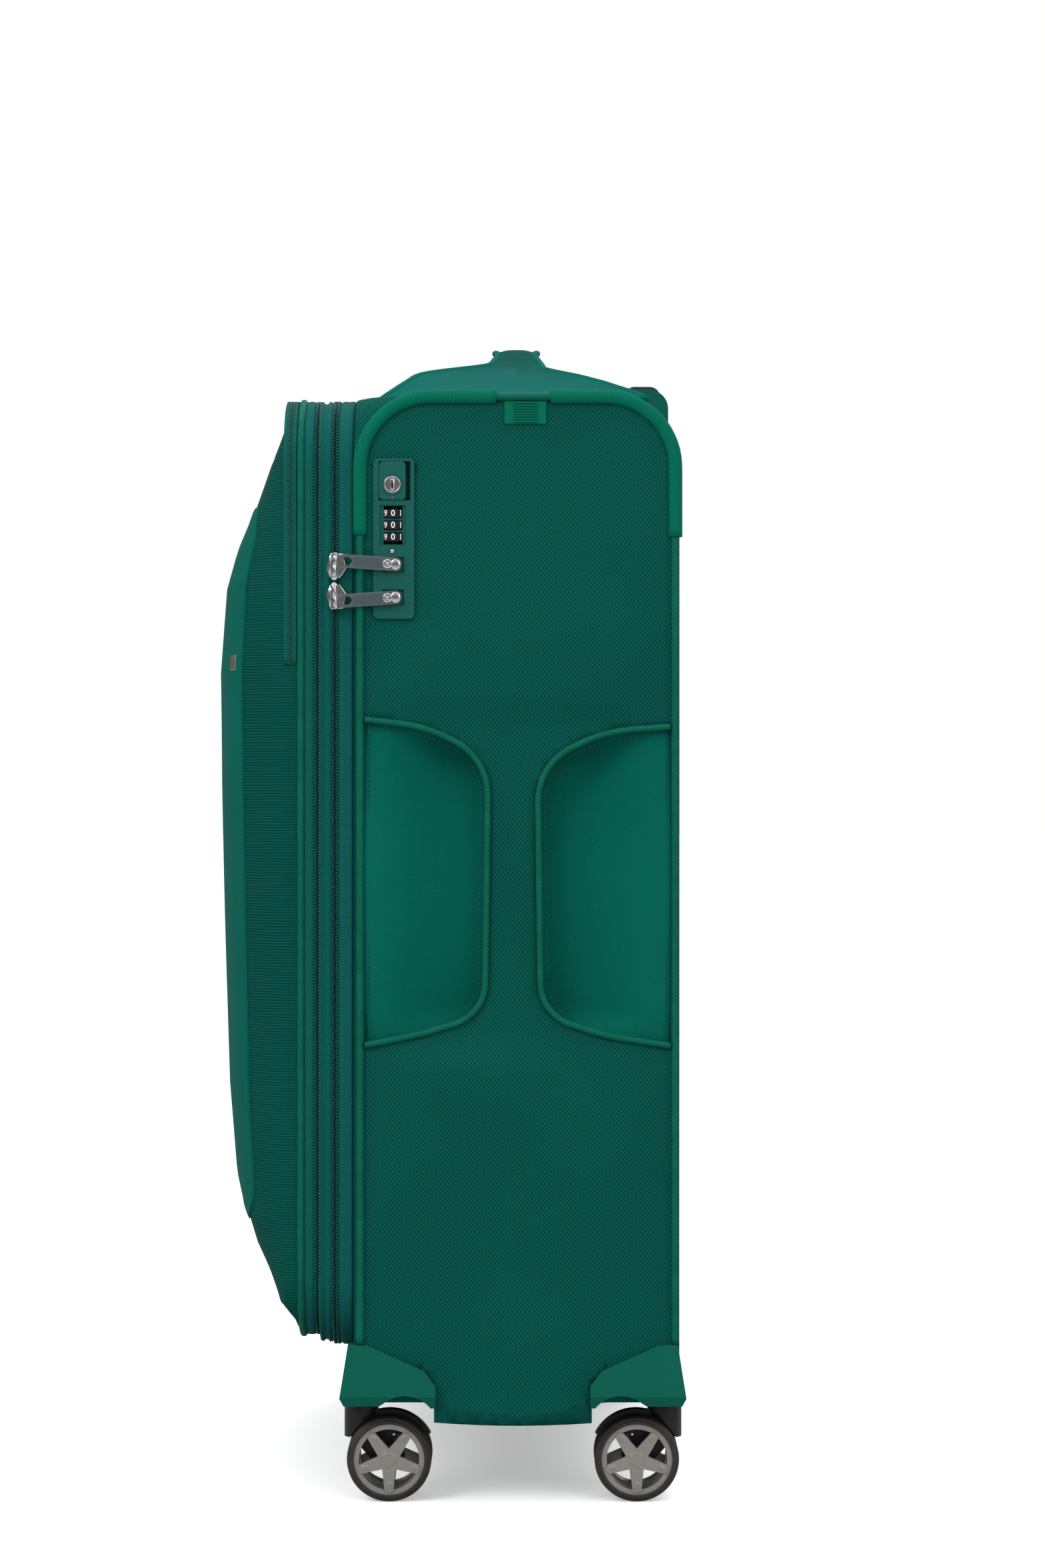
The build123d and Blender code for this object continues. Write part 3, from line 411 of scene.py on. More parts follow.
def make_finishes():
    """Every finish, by the name of the record's slot, with a few extra ones."""
    tint = colours()
    size = sizes()
    return {
        "body_fabric": basket_cloth("basket weave", tint.body, size.weave),
        "smooth_fabric": plain_cloth("plain cloth", tint.smooth),
        "ribbed_fabric": ribbed_cloth("ribbed cloth", tint.ribbed, size.rib),
        "overlay_fabric": plain_cloth("padded cloth", tint.overlay, 0.9 * MM),
        "handle_fabric": plain_cloth("stretch cloth", tint.handle, 0.6 * MM, 0.6, 0.02),
        "zip_tape": herringbone_tape("herringbone tape", tint.tape),
        "lining_fabric": plain_cloth("lining cloth", tint.lining, 1.2 * MM, 0.6, 0.2),
        "belly_fabric": plain_cloth("belly cloth", tint.belly, 1.0 * MM),
        "guard_webbing": ribbed_cloth("sleeve cloth", tint.guard, 1.1 * MM, True, 0.12 * MM),
        "piping": wrapped_cord("piping cover", tint.piping),
        "housing_plastic": moulded("housing plastic", tint.housing, 0.42, specular=0.08),
        "lock_plastic": moulded("lock plastic", tint.lock, 0.36, specular=0.1),
        "grip_plastic": moulded("grip plastic", tint.grip, 0.45),
        "black_plastic": moulded("black plastic", (0.009, 0.009, 0.010), 0.38, 700.0),
        "rim_plastic": rim_paint("rim paint", tint.rim),
        "tyre": rubber("tyre rubber", tint.tyre),
        "chrome": metal("polished chrome", (0.62, 0.62, 0.64), 0.16),
        "badge_metal": metal("brushed badge", (0.32, 0.30, 0.25), 0.34, 900.0),
        "aluminium_tube": metal("satin tube", (0.50, 0.51, 0.53), 0.32, 4.0),
        "steel": metal("plain steel", (0.38, 0.38, 0.38), 0.35),
        "thread": plain_thread("thread", shade(tint.body, 1.25)),
        "teeth": moulded("zip teeth", shade(tint.tape, 0.62), 0.34, 1200.0, 0.02 * MM),
        "slate": moulded("slate inlay", (0.045, 0.068, 0.085), 0.30, 1200.0, 0.02 * MM, 0.5, 0.3),
        "numerals": moulded("white numerals", (0.75, 0.76, 0.74), 0.5),
        "red_dot": moulded("red dot", (0.45, 0.02, 0.015), 0.4),
    }


FINISH = {}


# ------------------------------------------------------------------ routes and skins
def rounded_route(points, bends, closed=False, turn_step=radians(7)):
    """Straight runs between points with an arc at each corner, as 2-D places."""
    corners = [Vector(point) for point in points]
    count = len(corners)
    if not hasattr(bends, "__len__"):
        bends = [bends] * count
    inner = range(count) if closed else range(1, count - 1)
    route = [] if closed else [corners[0]]
    for order, index in enumerate(inner):
        corner = corners[index]
        back = (corners[index - 1] - corner).normalized()
        ahead = (corners[(index + 1) % count] - corner).normalized()
        opening = back.angle(ahead)
        reach = bends[order] / (2 * sin(opening / 2) / (2 * cos(opening / 2)))
        centre = corner + (back + ahead).normalized() * bends[order] / sin(opening / 2)
        first = corner + back * reach - centre
        last = corner + ahead * reach - centre
        swing = atan2(first.x * last.y - first.y * last.x, first.dot(last))
        steps = max(2, round(abs(swing) / turn_step))
        for step in range(steps + 1):
            angle = swing * step / steps
            route.append(centre + Matrix.Rotation(angle, 2) @ first)
    if not closed:
        route.append(corners[-1])
    return route


def even_route(route, pitch, closed=False):
    """The same line with places about pitch apart."""
    ends = route + [route[0]] if closed else route
    lengths = [0.0]
    for first, second in zip(ends, ends[1:]):
        lengths.append(lengths[-1] + (second - first).length)
    count = max(2, round(lengths[-1] / pitch))
    places = []
    leg = 0
    for step in range(count if closed else count + 1):
        at = lengths[-1] * step / count
        while leg < len(lengths) - 2 and lengths[leg + 1] < at:
            leg += 1
        run = max(lengths[leg + 1] - lengths[leg], 1e-9)
        places.append(ends[leg].lerp(ends[leg + 1], (at - lengths[leg]) / run))
    return places


def spots_on(route, plane, level, closed=False):
    """Places with their outward, sideways and forward directions, in metres.

    The route is in millimetres and turns left, so that outward is on its right. In the ring plane
    it holds x and z, and level is y. In the side plane it holds y and z, and level is x.
    """
    spots = []
    count = len(route)
    for index, place in enumerate(route):
        before = route[index - 1] if index or closed else place
        after = route[(index + 1) % count] if index < count - 1 or closed else place
        ahead = (after - before).normalized()
        out = Vector((ahead.y, -ahead.x))
        if plane == "ring":
            spots.append((Vector((place.x, level, place.y)) * MM, Vector((out.x, 0, out.y)),
                          Vector((0, 1, 0)), Vector((ahead.x, 0, ahead.y))))
        else:
            spots.append((Vector((level, place.x, place.y)) * MM, Vector((0, out.x, out.y)),
                          Vector((1, 0, 0)), Vector((0, ahead.x, ahead.y))))
    return spots


def new_piece(name, verts, faces, slot, body, finish=None):
    """A mesh object with its finish, riding on a body."""
    mesh = bpy.data.meshes.new(name)
    mesh.from_pydata([tuple(vert) for vert in verts], [], faces)
    mesh.update()
    piece = bpy.data.objects.new(name, mesh)
    bpy.context.collection.objects.link(piece)
    return dressed(piece, slot, body, finish)


def dressed(piece, slot, body, finish=None):
    """The piece with its finish and body; body None leaves the ride to the caller."""
    piece.data.materials.clear()
    piece.data.materials.append(FINISH[finish or slot])
    if body:
        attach(piece, body)
    return piece


def skin(name, rings, slot, body, loop_path=False, loop_section=True, finish=None, caps=True):
    """A skin over rings of points, with a cloth map of its real lengths."""
    across = len(rings[0])
    rows = len(rings)
    verts = [point for ring in rings for point in ring]
    faces = []
    maps = []
    along = [0.0]
    for first, second in zip(rings, rings[1:] + rings[:1]):
        along.append(along[-1] + (second[0] - first[0]).length)
    round_it = [0.0]
    for index in range(across):
        round_it.append(round_it[-1] + (rings[0][(index + 1) % across] - rings[0][index]).length)
    for row in range(rows if loop_path else rows - 1):
        following = (row + 1) % rows
        for index in range(across if loop_section else across - 1):
            beside = (index + 1) % across
            faces.append((row * across + index, row * across + beside,
                          following * across + beside, following * across + index))
            maps.append(((along[row], round_it[index]), (along[row], round_it[index + 1]),
                         (along[row + 1], round_it[index + 1]), (along[row + 1], round_it[index])))
    if caps and loop_section and not loop_path:
        faces.append(tuple(reversed(range(across))))
        maps.append(tuple((0.0, round_it[index]) for index in reversed(range(across))))
        faces.append(tuple(range((rows - 1) * across, rows * across)))
        maps.append(tuple((along[rows - 1], round_it[index]) for index in range(across)))
    piece = new_piece(name, verts, faces, slot, body, finish)
    layer = piece.data.uv_layers.new(name="cloth")
    flat = [number for face in maps for pair in face for number in pair]
    layer.data.foreach_set("uv", flat)
    mend_normals(piece)
    piece.data.shade_smooth()
    return piece


def mend_normals(piece):
    """Faces point outwards."""
    work = bmesh.new()
    work.from_mesh(piece.data)
    bmesh.ops.recalc_face_normals(work, faces=work.faces)
    work.to_mesh(piece.data)
    work.free()


def carried(spots, section):
    """The section, as (sideways, outward) millimetres, carried along the spots."""
    return [[place + side * (s * MM) + out * (o * MM) for s, o in section]
            for place, out, side, ahead in spots]


def round_section(side_r, out_r=None, count=12):
    """Points of a round or oval section."""
    out_r = side_r if out_r is None else out_r
    return [(side_r * cos(2 * pi * step / count), out_r * sin(2 * pi * step / count))
            for step in range(count)]


def tube(name, spots, section, slot, body, closed=False, finish=None):
    """A cord or strip along the spots."""
    return skin(name, carried(spots, section), slot, body, loop_path=closed, finish=finish)


STITCH = [(-1.25, 0, 0), (-0.6, 0.28, 0), (-0.6, -0.28, 0), (-0.6, 0, 0.34), (0.6, 0.28, 0),
          (0.6, -0.28, 0), (0.6, 0, 0.34), (1.25, 0, 0)]
STITCH_FACES = [(0, 1, 3), (0, 3, 2), (1, 4, 6, 3), (3, 6, 5, 2), (4, 7, 6), (6, 7, 5), (0, 2, 1),
                (1, 2, 5, 4), (4, 5, 7)]


def beads(name, spots, shape, faces, slot, body, finish=None):
    """A small shape at every spot; its points are (ahead, sideways, outward) millimetres."""
    verts = []
    all_faces = []
    for place, out, side, ahead in spots:
        base = len(verts)
        verts.extend(place + ahead * (a * MM) + side * (s * MM) + out * (o * MM) for a, s, o in shape)
        all_faces.extend(tuple(base + index for index in face) for face in faces)
    piece = new_piece(name, verts, all_faces, slot, body, finish)
    mend_normals(piece)
    piece.data.shade_smooth()
    return piece


def stitches(name, route, plane, level, body, up):
    """A row of stitches along a route, with their raised side towards up."""
    spots = spots_on(even_route(route, sizes().stitch / MM), plane, level)
    spots = [(place, up, ahead.cross(up).normalized(), ahead) for place, out, side, ahead in spots]
    return beads(name, spots, STITCH, STITCH_FACES, "piping", body, "thread")


def tooth_shape(way, reach=2.1, lean=0.55):
    """One low-poly zip tooth from the middle of the chain to one side."""
    stations = [(0.15, 0.55, 0.35), (reach * 0.55, 0.62, 0.55), (reach, 0.45, 0.25)]
    shape = []
    for side, half, height in stations:
        ahead = lean * side * 0.5
        shape += [(ahead - half, way * side, -0.2), (ahead - half * 0.5, way * side, height + 0.3),
                  (ahead + half * 0.5, way * side, height + 0.3), (ahead + half, way * side, -0.2)]
    return shape


TOOTH_FACES = [(0, 1, 5, 4), (1, 2, 6, 5), (2, 3, 7, 6), (4, 5, 9, 8), (5, 6, 10, 9), (6, 7, 11, 10),
               (0, 3, 2, 1), (8, 9, 10, 11), (0, 4, 7, 3), (4, 8, 11, 7)]


def zip_rows(name, route, level, closed, front_body, rear_body):
    """Both rows of a zip's teeth; the rear row is the +y one."""
    pitch = sizes().tooth / MM
    spots = spots_on(even_route(route, pitch, closed), "ring", level, closed)
    half_step = [(place + ahead * (pitch / 2 * MM), out, side, ahead) for place, out, side, ahead in spots]
    beads(name + "_front_row", spots, tooth_shape(-1), TOOTH_FACES, "zip_tape", front_body, "teeth")
    beads(name + "_rear_row", half_step, tooth_shape(1), TOOTH_FACES, "zip_tape", rear_body, "teeth")


def ring_route(half, low, high, bend, step=radians(7)):
    """Rounded rectangle round the middle plane, anticlockwise in x and z."""
    corners = [(half, low), (half, high), (-half, high), (-half, low)]
    return rounded_route(corners, bend, True, step)


def diced(node, name, pitch):
    """A copy of a CAD node, merged and cut into small cells that can be shaped."""
    mesh = frame["nodes"][node].data.copy()
    mesh.name = name
    work = bmesh.new()
    work.from_mesh(mesh)
    bmesh.ops.remove_doubles(work, verts=work.verts, dist=0.01 * MM)
    low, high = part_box(node)
    for axis in range(3):
        cells = int((high[axis] - low[axis]) / pitch)
        for cell in range(1, cells + 1):
            at = Vector((0, 0, 0))
            at[axis] = low[axis] + (high[axis] - low[axis]) * cell / (cells + 1)
            normal = Vector((0, 0, 0))
            normal[axis] = 1
            bmesh.ops.bisect_plane(work, geom=work.verts[:] + work.edges[:] + work.faces[:],
                                   plane_co=at, plane_no=normal, dist=0.001 * MM)
    work.to_mesh(mesh)
    work.free()
    piece = bpy.data.objects.new(name, mesh)
    bpy.context.collection.objects.link(piece)
    return piece


def cloth_map(piece):
    """A cloth map in metres, laid on each face from the axis that it faces."""
    mesh = piece.data
    layer = mesh.uv_layers.get("cloth") or mesh.uv_layers.new(name="cloth")
    for polygon in mesh.polygons:
        normal = [abs(number) for number in polygon.normal]
        facing = normal.index(max(normal))
        first, second = ((1, 2), (0, 2), (0, 1))[facing]
        for loop in polygon.loop_indices:
            place = mesh.vertices[mesh.loops[loop].vertex_index].co
            layer.data[loop].uv = (place[first], place[second])


def soft_panel(node, name, body, slot, move, smooth_angle=40, lined_from=None):
    """A CAD panel as cloth: diced, shaped by move, mapped and lined on its inner side."""
    piece = diced(node, name, sizes().dice)
    for vert in piece.data.vertices:
        vert.co = move(vert.co)
    dressed(piece, slot, body)
    cloth_map(piece)
    piece.data.shade_smooth()
    piece.data.set_sharp_from_angle(angle=radians(smooth_angle))
    if lined_from is not None:
        piece.data.materials.append(FINISH["lining_fabric"])
        for polygon in piece.data.polygons:
            if polygon.normal.dot(lined_from - polygon.center) > 0:
                polygon.material_index = 1
    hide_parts(node)
    return piece


def soft_step(value, low, high):
    """0 below low, 1 above high and smooth between."""
    t = max(0.0, min(1.0, (value - low) / (high - low)))
    return t * t * (3 - 2 * t)


def inside(value, low, high, edge):
    """1 well inside a range and 0 at its ends."""
    return soft_step(value, low, low + edge) * soft_step(-value, -high, -high + edge)


def ripple(place, scale, seed):
    """Soft noise between about -1 and 1."""
    return noise.noise(Vector((place.x * scale + seed, place.y * scale, place.z * scale)))


# ------------------------------------------------------------------ case body
CASE_MIDDLE = Vector((0, 45 * MM, 360 * MM))


def side_swell(place):
    """Outward move of a side panel: a low crown, slack near the foot, flat at the lock."""
    open_area = inside(place.y, -46 * MM, 134 * MM, 34 * MM) * inside(place.z, 62 * MM, 655 * MM, 46 * MM)
    at_lock = inside(place.y, -60 * MM, 6 * MM, 14 * MM) * inside(place.z, 515 * MM, 640 * MM, 16 * MM)
    at_strap = inside(place.z, 262 * MM, 486 * MM, 20 * MM)
    free = open_area * (1 - at_lock) * (1 - 0.85 * at_strap)
    return sizes().crown * free * (0.75 + 0.9 * ripple(place, 9.0, 3.1) + 0.35 * ripple(place, 21.0, 8.4))


def puff_side(place):
    """Side panels swell sideways."""
    way = 1 if place.x > 0 else -1
    return Vector((place.x + way * side_swell(place), place.y, place.z))


def puff_back(place):
    """The back and top swell a little away from the case's middle."""
    open_area = inside(place.x, -214 * MM, 214 * MM, 60 * MM)
    back = soft_step(place.y, 130 * MM, 139 * MM) * inside(place.z, 100 * MM, 612 * MM, 60 * MM)
    near_collar = inside(place.x, -125 * MM, 125 * MM, 20 * MM) * soft_step(place.z, 560 * MM, 610 * MM)
    lift = 0.8 * MM * open_area * back * (1 - near_collar) * (0.6 + ripple(place, 8.0, 1.7))
    return Vector((place.x, place.y + lift, place.z))


def puff_tray(place):
    """The belly sags unevenly."""
    open_area = inside(place.x, -145 * MM, 145 * MM, 60 * MM) * inside(place.y, -30 * MM, 120 * MM, 40 * MM)
    return Vector((place.x, place.y, place.z - 1.5 * MM * open_area * (0.6 + ripple(place, 10.0, 5.2))))


class SUITCASE_OT_case_panels(bpy.types.Operator):
    """Woven panels of the case, with their lining"""
    bl_idname = "suitcase.case_panels"
    bl_label = "Case panels"

    def execute(self, context):
        soft_panel("lock_side_panel", "lock_side_cloth", "case", "body_fabric", puff_side,
                   lined_from=CASE_MIDDLE)
        soft_panel("hinge_side_panel", "hinge_side_cloth", "case", "body_fabric", puff_side,
                   lined_from=CASE_MIDDLE)
        soft_panel("back_and_top_panel", "back_and_top_cloth", "case", "body_fabric", puff_back,
                   lined_from=CASE_MIDDLE)
        tray = soft_panel("bottom_tray", "tray_cloth", "case", "smooth_fabric", puff_tray)
        tray.data.materials[0] = FINISH["belly_fabric"]
        return {"FINISHED"}


RECESS_MIDDLE_Y = 44.0
RECESS_FLOOR_X = 197.5
RECESS_RIM_X = 216.0
RECESS_RAMP = 20.0
RECESS_SWELL = 2.2
RECESS_WALL = 2.2


def recess_depth(y, z):
    """Where the padded recess lies, in millimetres from the middle plane."""
    ramp = soft_step(abs(y - RECESS_MIDDLE_Y), 34.0, 88.0)
    sunk = RECESS_FLOOR_X + RECESS_RAMP * ramp
    swell = RECESS_SWELL * sin(pi * min(1.0, max(0.0, (z - 275) / 198)))
    rim = inside(z, 271.0, 476.0, 26.0)
    return RECESS_RIM_X + (sunk + swell - RECESS_RIM_X) * rim


class SUITCASE_OT_belly_ends(bpy.types.Operator):
    """Cloth that rises from the belly between each pair of wheels"""
    bl_idname = "suitcase.belly_ends"
    bl_label = "Belly ends"
    HALF_WIDTH = 148.0
    TOP_Z = 74.0
    LOW_Z = 52.0
    RISE = 21.5
    REACH = 42.0
    SAG = 0.8
    COLUMNS = 40
    STEPS = 12

    def execute(self, context):
        for label, inner, way in (("front", -5.0, -1), ("rear", 87.5, 1)):
            rings = []
            for column in range(self.COLUMNS + 1):
                x = -self.HALF_WIDTH + 2 * self.HALF_WIDTH * column / self.COLUMNS
                ring = [Vector((x, inner, self.TOP_Z)) * MM]
                for step in range(self.STEPS + 1):
                    reach = self.REACH * step / self.STEPS
                    spot = Vector((x * MM, 0, way * reach * MM))
                    sag = self.SAG * ripple(spot, 14.0, 2.5) * sin(pi * step / self.STEPS)
                    level = self.LOW_Z + self.RISE * (step / self.STEPS) ** 1.7 - sag
                    ring.append(Vector((x, inner + way * reach, level)) * MM)
                rings.append(ring)
            skin("belly_end_" + label, rings, "smooth_fabric", "case", finish="belly_fabric")
        return {"FINISHED"}


class SUITCASE_OT_hand_recess(bpy.types.Operator):
    """Smooth padded recess behind the carry strap"""
    bl_idname = "suitcase.hand_recess"
    bl_label = "Hand recess"

    def execute(self, context):
        rows = 44
        columns = 42
        low_y, high_y = -48.6, 136.6
        low_z, high_z = 272.4, 474.6
        front = []
        for row in range(rows + 1):
            z = low_z + (high_z - low_z) * row / rows
            line = []
            for column in range(columns + 1):
                y = low_y + (high_y - low_y) * column / columns
                spot = Vector((0, y * MM, z * MM))
                x = recess_depth(y, z) + 0.5 * ripple(spot, 22.0, 4.0)
                line.append(Vector((x * MM, y * MM, z * MM)))
            front.append(line)
        pad = skin("hand_recess_pad", front, "smooth_fabric", "case", loop_section=False)
        thicken(pad, RECESS_WALL * MM)
        cloth_map(pad)
        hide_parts("side_handle_recess")
        return {"FINISHED"}


def thicken(piece, thickness, offset=-1.0):
    """Solidify, applied."""
    bpy.ops.object.select_all(action="DESELECT")
    bpy.context.view_layer.objects.active = piece
    piece.select_set(True)
    modifier = piece.modifiers.new("wall", "SOLIDIFY")
    modifier.thickness = thickness
    modifier.offset = offset
    bpy.ops.object.modifier_apply(modifier=modifier.name)
    piece.select_set(False)


class SUITCASE_OT_side_piping(bpy.types.Operator):
    """Piping hoops, cut-out cords, corner sleeves and their stitches"""
    bl_idname = "suitcase.side_piping"
    bl_label = "Side piping"

    def execute(self, context):
        hoop = even_route(rounded_route(list(reversed(HOOP)), HOOP_BEND), 4.0)
        for side, label in ((1, "right"), (-1, "left")):
            level = side * HOOP_X
            tube("hoop_cord_" + label, spots_on(hoop, "side", level),
                               round_section(HOOP_R), "piping", "case")
            for end, outline in (("front", GUARD_FRONT), ("rear", GUARD_BACK)):
                route = even_route(rounded_route(outline, HOOP_BEND), 4.0)
                tube("corner_sleeve_%s_%s" % (end, label), spots_on(route, "side", level),
                     round_section(2.9, 4.2, 16), "guard_webbing", "case")
            seam = rounded_route(HOOP_SEAM, HOOP_SEAM_BEND)
            stitches("hoop_stitches_" + label, seam, "side", side * SEAM_X, "case", Vector((side, 0, 0)))
        for label, outline in (("front", CUTOUT_FRONT), ("rear", CUTOUT_BACK)):
            route = even_route(rounded_route(outline, CUTOUT_BENDS, turn_step=radians(4)), 3.0)
            tube("recess_cord_" + label, spots_on(route, "side", CUTOUT_X),
                               round_section(CUTOUT_R), "piping", "case")
            way = 1 if label == "front" else -1
            seam = [spot[0] / MM + spot[1] * (way * 4.2) for spot in spots_on(route, "side", 0.0)]
            seam = [Vector((place.y, place.z)) for place in seam][6:-6]
            stitches("recess_stitches_" + label, seam, "side", SEAM_X + 0.1, "case", Vector((1, 0, 0)))
        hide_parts("edge_piping")
        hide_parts("corner_guards")
        return {"FINISHED"}


# ------------------------------------------------------------------ zips and front
CASE_TAPE = [(-65.3, -0.6), (-62.6, -0.3), (-61.8, 0.3), (-60.2, 0.5), (-58.2, 0.15), (-57.0, 0.5),
             (-55.2, 0.5), (-54.1, -0.6), (-54.1, -2.4), (-65.3, -2.4)]
LID_TAPE = [(-75.5, -2.4), (-75.5, -0.5), (-74.0, 0.1), (-73.2, -0.9), (-72.0, -1.3), (-71.0, -0.8),
            (-70.0, 0.35), (-69.2, 0.3), (-68.4, -0.3), (-65.7, -0.6), (-65.7, -2.4)]
FRONT_BAND = [(-84.6, -0.6), (-83.4, 0.7), (-81.0, 1.0), (-79.0, 0.7), (-78.3, -0.1), (-76.9, -0.4),
              (-76.9, -1.8), (-84.6, -1.8)]


def ring_piece(name, section, half, low, high, slot, body):
    """A closed band whose section is given as (y, outward) millimetres."""
    route = even_route(ring_route(half, low, high, RING_BEND / MM, radians(4)), 5.0, True)
    spots = spots_on(route, "ring", 0.0, True)
    return tube(name, spots, section, slot, body, closed=True)


class SUITCASE_OT_zip_bands(bpy.types.Operator):
    """Bands of the main and expansion zips, their teeth and the hidden gusset"""
    bl_idname = "suitcase.zip_bands"
    bl_label = "Zip bands"

    def execute(self, context):
        half = BAND_X / MM
        low = BAND_BASE / MM
        high = BAND_TOP / MM
        case_tape = ring_piece("case_tape", CASE_TAPE, half, low, high, "zip_tape", "case")
        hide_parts("case_zip_tape")
        ring_piece("lid_tape", LID_TAPE, half, low + 1.2, high, "zip_tape", "lid")
        main = ring_route(half - 0.3, low + 0.5, high - 0.3, 41.7)
        zip_rows("main_zip", main, ZIP_Y, True, "lid", "case")
        front_half = FRONT_X / MM
        front_low = FRONT_BASE / MM
        front_high = FRONT_TOP / MM
        ring_piece("front_band", FRONT_BAND, front_half, front_low, front_high, "zip_tape", "front_section")
        spread = ring_route(front_half, front_low - 0.1, front_high, 42.0)
        zip_rows("expansion_zip", spread, EXPANSION_Y, True, "front_section", "lid")
        self.make_gusset()
        return {"FINISHED"}

    def make_gusset(self):
        """The cloth that the expansion zip hides, and the lid's inner ring."""
        route = even_route(ring_route(213.6, 99.6, 662.2, 39.5, radians(5)), 6.0, True)
        rows = 14
        section = [(-80.5 + 6.5 * row / rows, -0.6 - 0.8 * sin(pi * row / rows)) for row in range(rows + 1)]
        rings = carried(spots_on(route, "ring", 0.0, True), section)
        gusset = skin("expansion_gusset", rings, "ribbed_fabric", None, loop_path=True, loop_section=False)
        thicken(gusset, 0.6 * MM)
        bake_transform(gusset)
        section = [(-75.0, -2.6), (-66.2, -2.6), (-66.2, -3.6), (-75.0, -3.6)]
        inner = carried(spots_on(route, "ring", 0.0, True), [(s, o + 1.2) for s, o in section])
        ring = skin("lid_inner_ring", inner, "lining_fabric", "lid", loop_path=True)
        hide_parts("lid_bands")


class SUITCASE_OT_hinge_strip(bpy.types.Operator):
    """Cloth hinge inside the zip on the side away from the lock"""
    bl_idname = "suitcase.hinge_strip"
    bl_label = "Hinge strip"

    def execute(self, context):
        rows = 16
        columns = 60
        rings = []
        for column in range(columns + 1):
            z = 150.0 + 460.0 * column / columns
            rings.append([Vector((-212.2, -71.5 + 16.0 * row / rows, z)) * MM for row in range(rows + 1)])
        strip = skin("hinge_strip", rings, "ribbed_fabric", None, loop_section=False)
        thicken(strip, 0.7 * MM)
        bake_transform(strip)
        return {"FINISHED"}


def puff_front(place):
    """The ribbed front swells slightly between its edges."""
    face = soft_step(-place.y, 100 * MM, 124 * MM)
    open_area = inside(place.x, -205 * MM, 205 * MM, 40 * MM) * inside(place.z, 110 * MM, 650 * MM, 40 * MM)
    out = 0.9 * MM * (1 - face) * inside(place.z, 120 * MM, 490 * MM, 60 * MM)
    out *= inside(-place.y, 92 * MM, 128 * MM, 12 * MM) * (0.7 + ripple(place, 10.0, 2.0))
    way = 1 if place.x > 0 else -1
    sideways = out if abs(place.x) > 190 * MM else 0.0
    forward = 0.4 * MM * face * open_area * ripple(place, 12.0, 6.0)
    return Vector((place.x + way * sideways, place.y - forward, place.z))


def puff_overlay(place):
    """The padded front panel rises smoothly from its sewn edge."""
    rise = inside(place.x, -196 * MM, 196 * MM, 26 * MM) * inside(place.z, 167 * MM, 601 * MM, 26 * MM)
    fullness = 2.6 + 0.9 * ripple(place, 6.0, 9.0)
    return Vector((place.x, place.y - fullness * MM * rise, place.z))


class SUITCASE_OT_front(bpy.types.Operator):
    """Ribbed front, padded panel, pocket zip and front piping"""
    bl_idname = "suitcase.front"
    bl_label = "Front section"

    def execute(self, context):
        soft_panel("front_shell", "front_cloth", "front_section", "ribbed_fabric", puff_front,
                   lined_from=Vector((0, -70 * MM, 380 * MM)))
        pad = soft_panel("front_overlay", "front_pad", "front_section", "overlay_fabric", puff_overlay)
        half = FRONT_X / MM
        low = FRONT_BASE / MM
        high = FRONT_TOP / MM
        ring = even_route(ring_route(half, low, high, 42.0, radians(4)), 4.0, True)
        cord = tube("front_cord", spots_on(ring, "ring", PIPING_Y, True), round_section(2.2), "piping",
                    "front_section", closed=True)
        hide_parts("front_piping")
        self.make_pocket(half, high)
        return {"FINISHED"}

    def make_pocket(self, half, high):
        """Zip over the top of the pocket, down to its lower ends."""
        out = 0.2
        corners = [(half + out, POCKET_LOW), (half + out, high + out), (-half - out, high + out),
                   (-half - out, POCKET_LOW)]
        route = rounded_route(corners, 42.0, False, radians(4))
        spots = spots_on(even_route(route, 4.0), "ring", 0.0)
        section = [(-96.4, -0.8), (-96.0, 0.5), (-95.0, 0.9), (-94.0, 0.4), (-92.2, 0.1), (-90.2, 0.4),
                   (-89.4, 0.8), (-88.6, 0.5), (-88.2, -0.8)]
        tapes = tube("pocket_zip_tape", spots, section, "zip_tape", "front_section")
        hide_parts("pocket_zip")
        zip_rows("pocket_zip", rounded_route(corners, 42.0), POCKET_Y, False, "front_section",
                 "front_section")


# ------------------------------------------------------------------ top handle
def fan_half(x, front):
    """Half width of the top handle towards its front or rear edge, in millimetres."""
    reach = abs(x)
    neck = 12.0 + 5.0 * soft_step(reach, 92, 136)
    if front:
        return neck + 45.0 * soft_step(reach, 122, 168) + 28.0 * soft_step(reach, 160, 224)
    return neck + 34.0 * soft_step(reach, 136, 186) + 30.0 * soft_step(reach, 172, 222)


def arch_z(x):
    """Height of the handle's upper face on its centre line, in millimetres."""
    return HANDLE_TOP - HANDLE_ARCH + sqrt(HANDLE_ARCH ** 2 - x * x) - 3.6 * soft_step(abs(x), 86, 132)


def wing_droop(x, y):
    """How far the front corners of the wings settle towards the case, in millimetres."""
    return 5.5 * soft_step(abs(x), 150, 210) * soft_step(-y, 8, 46)


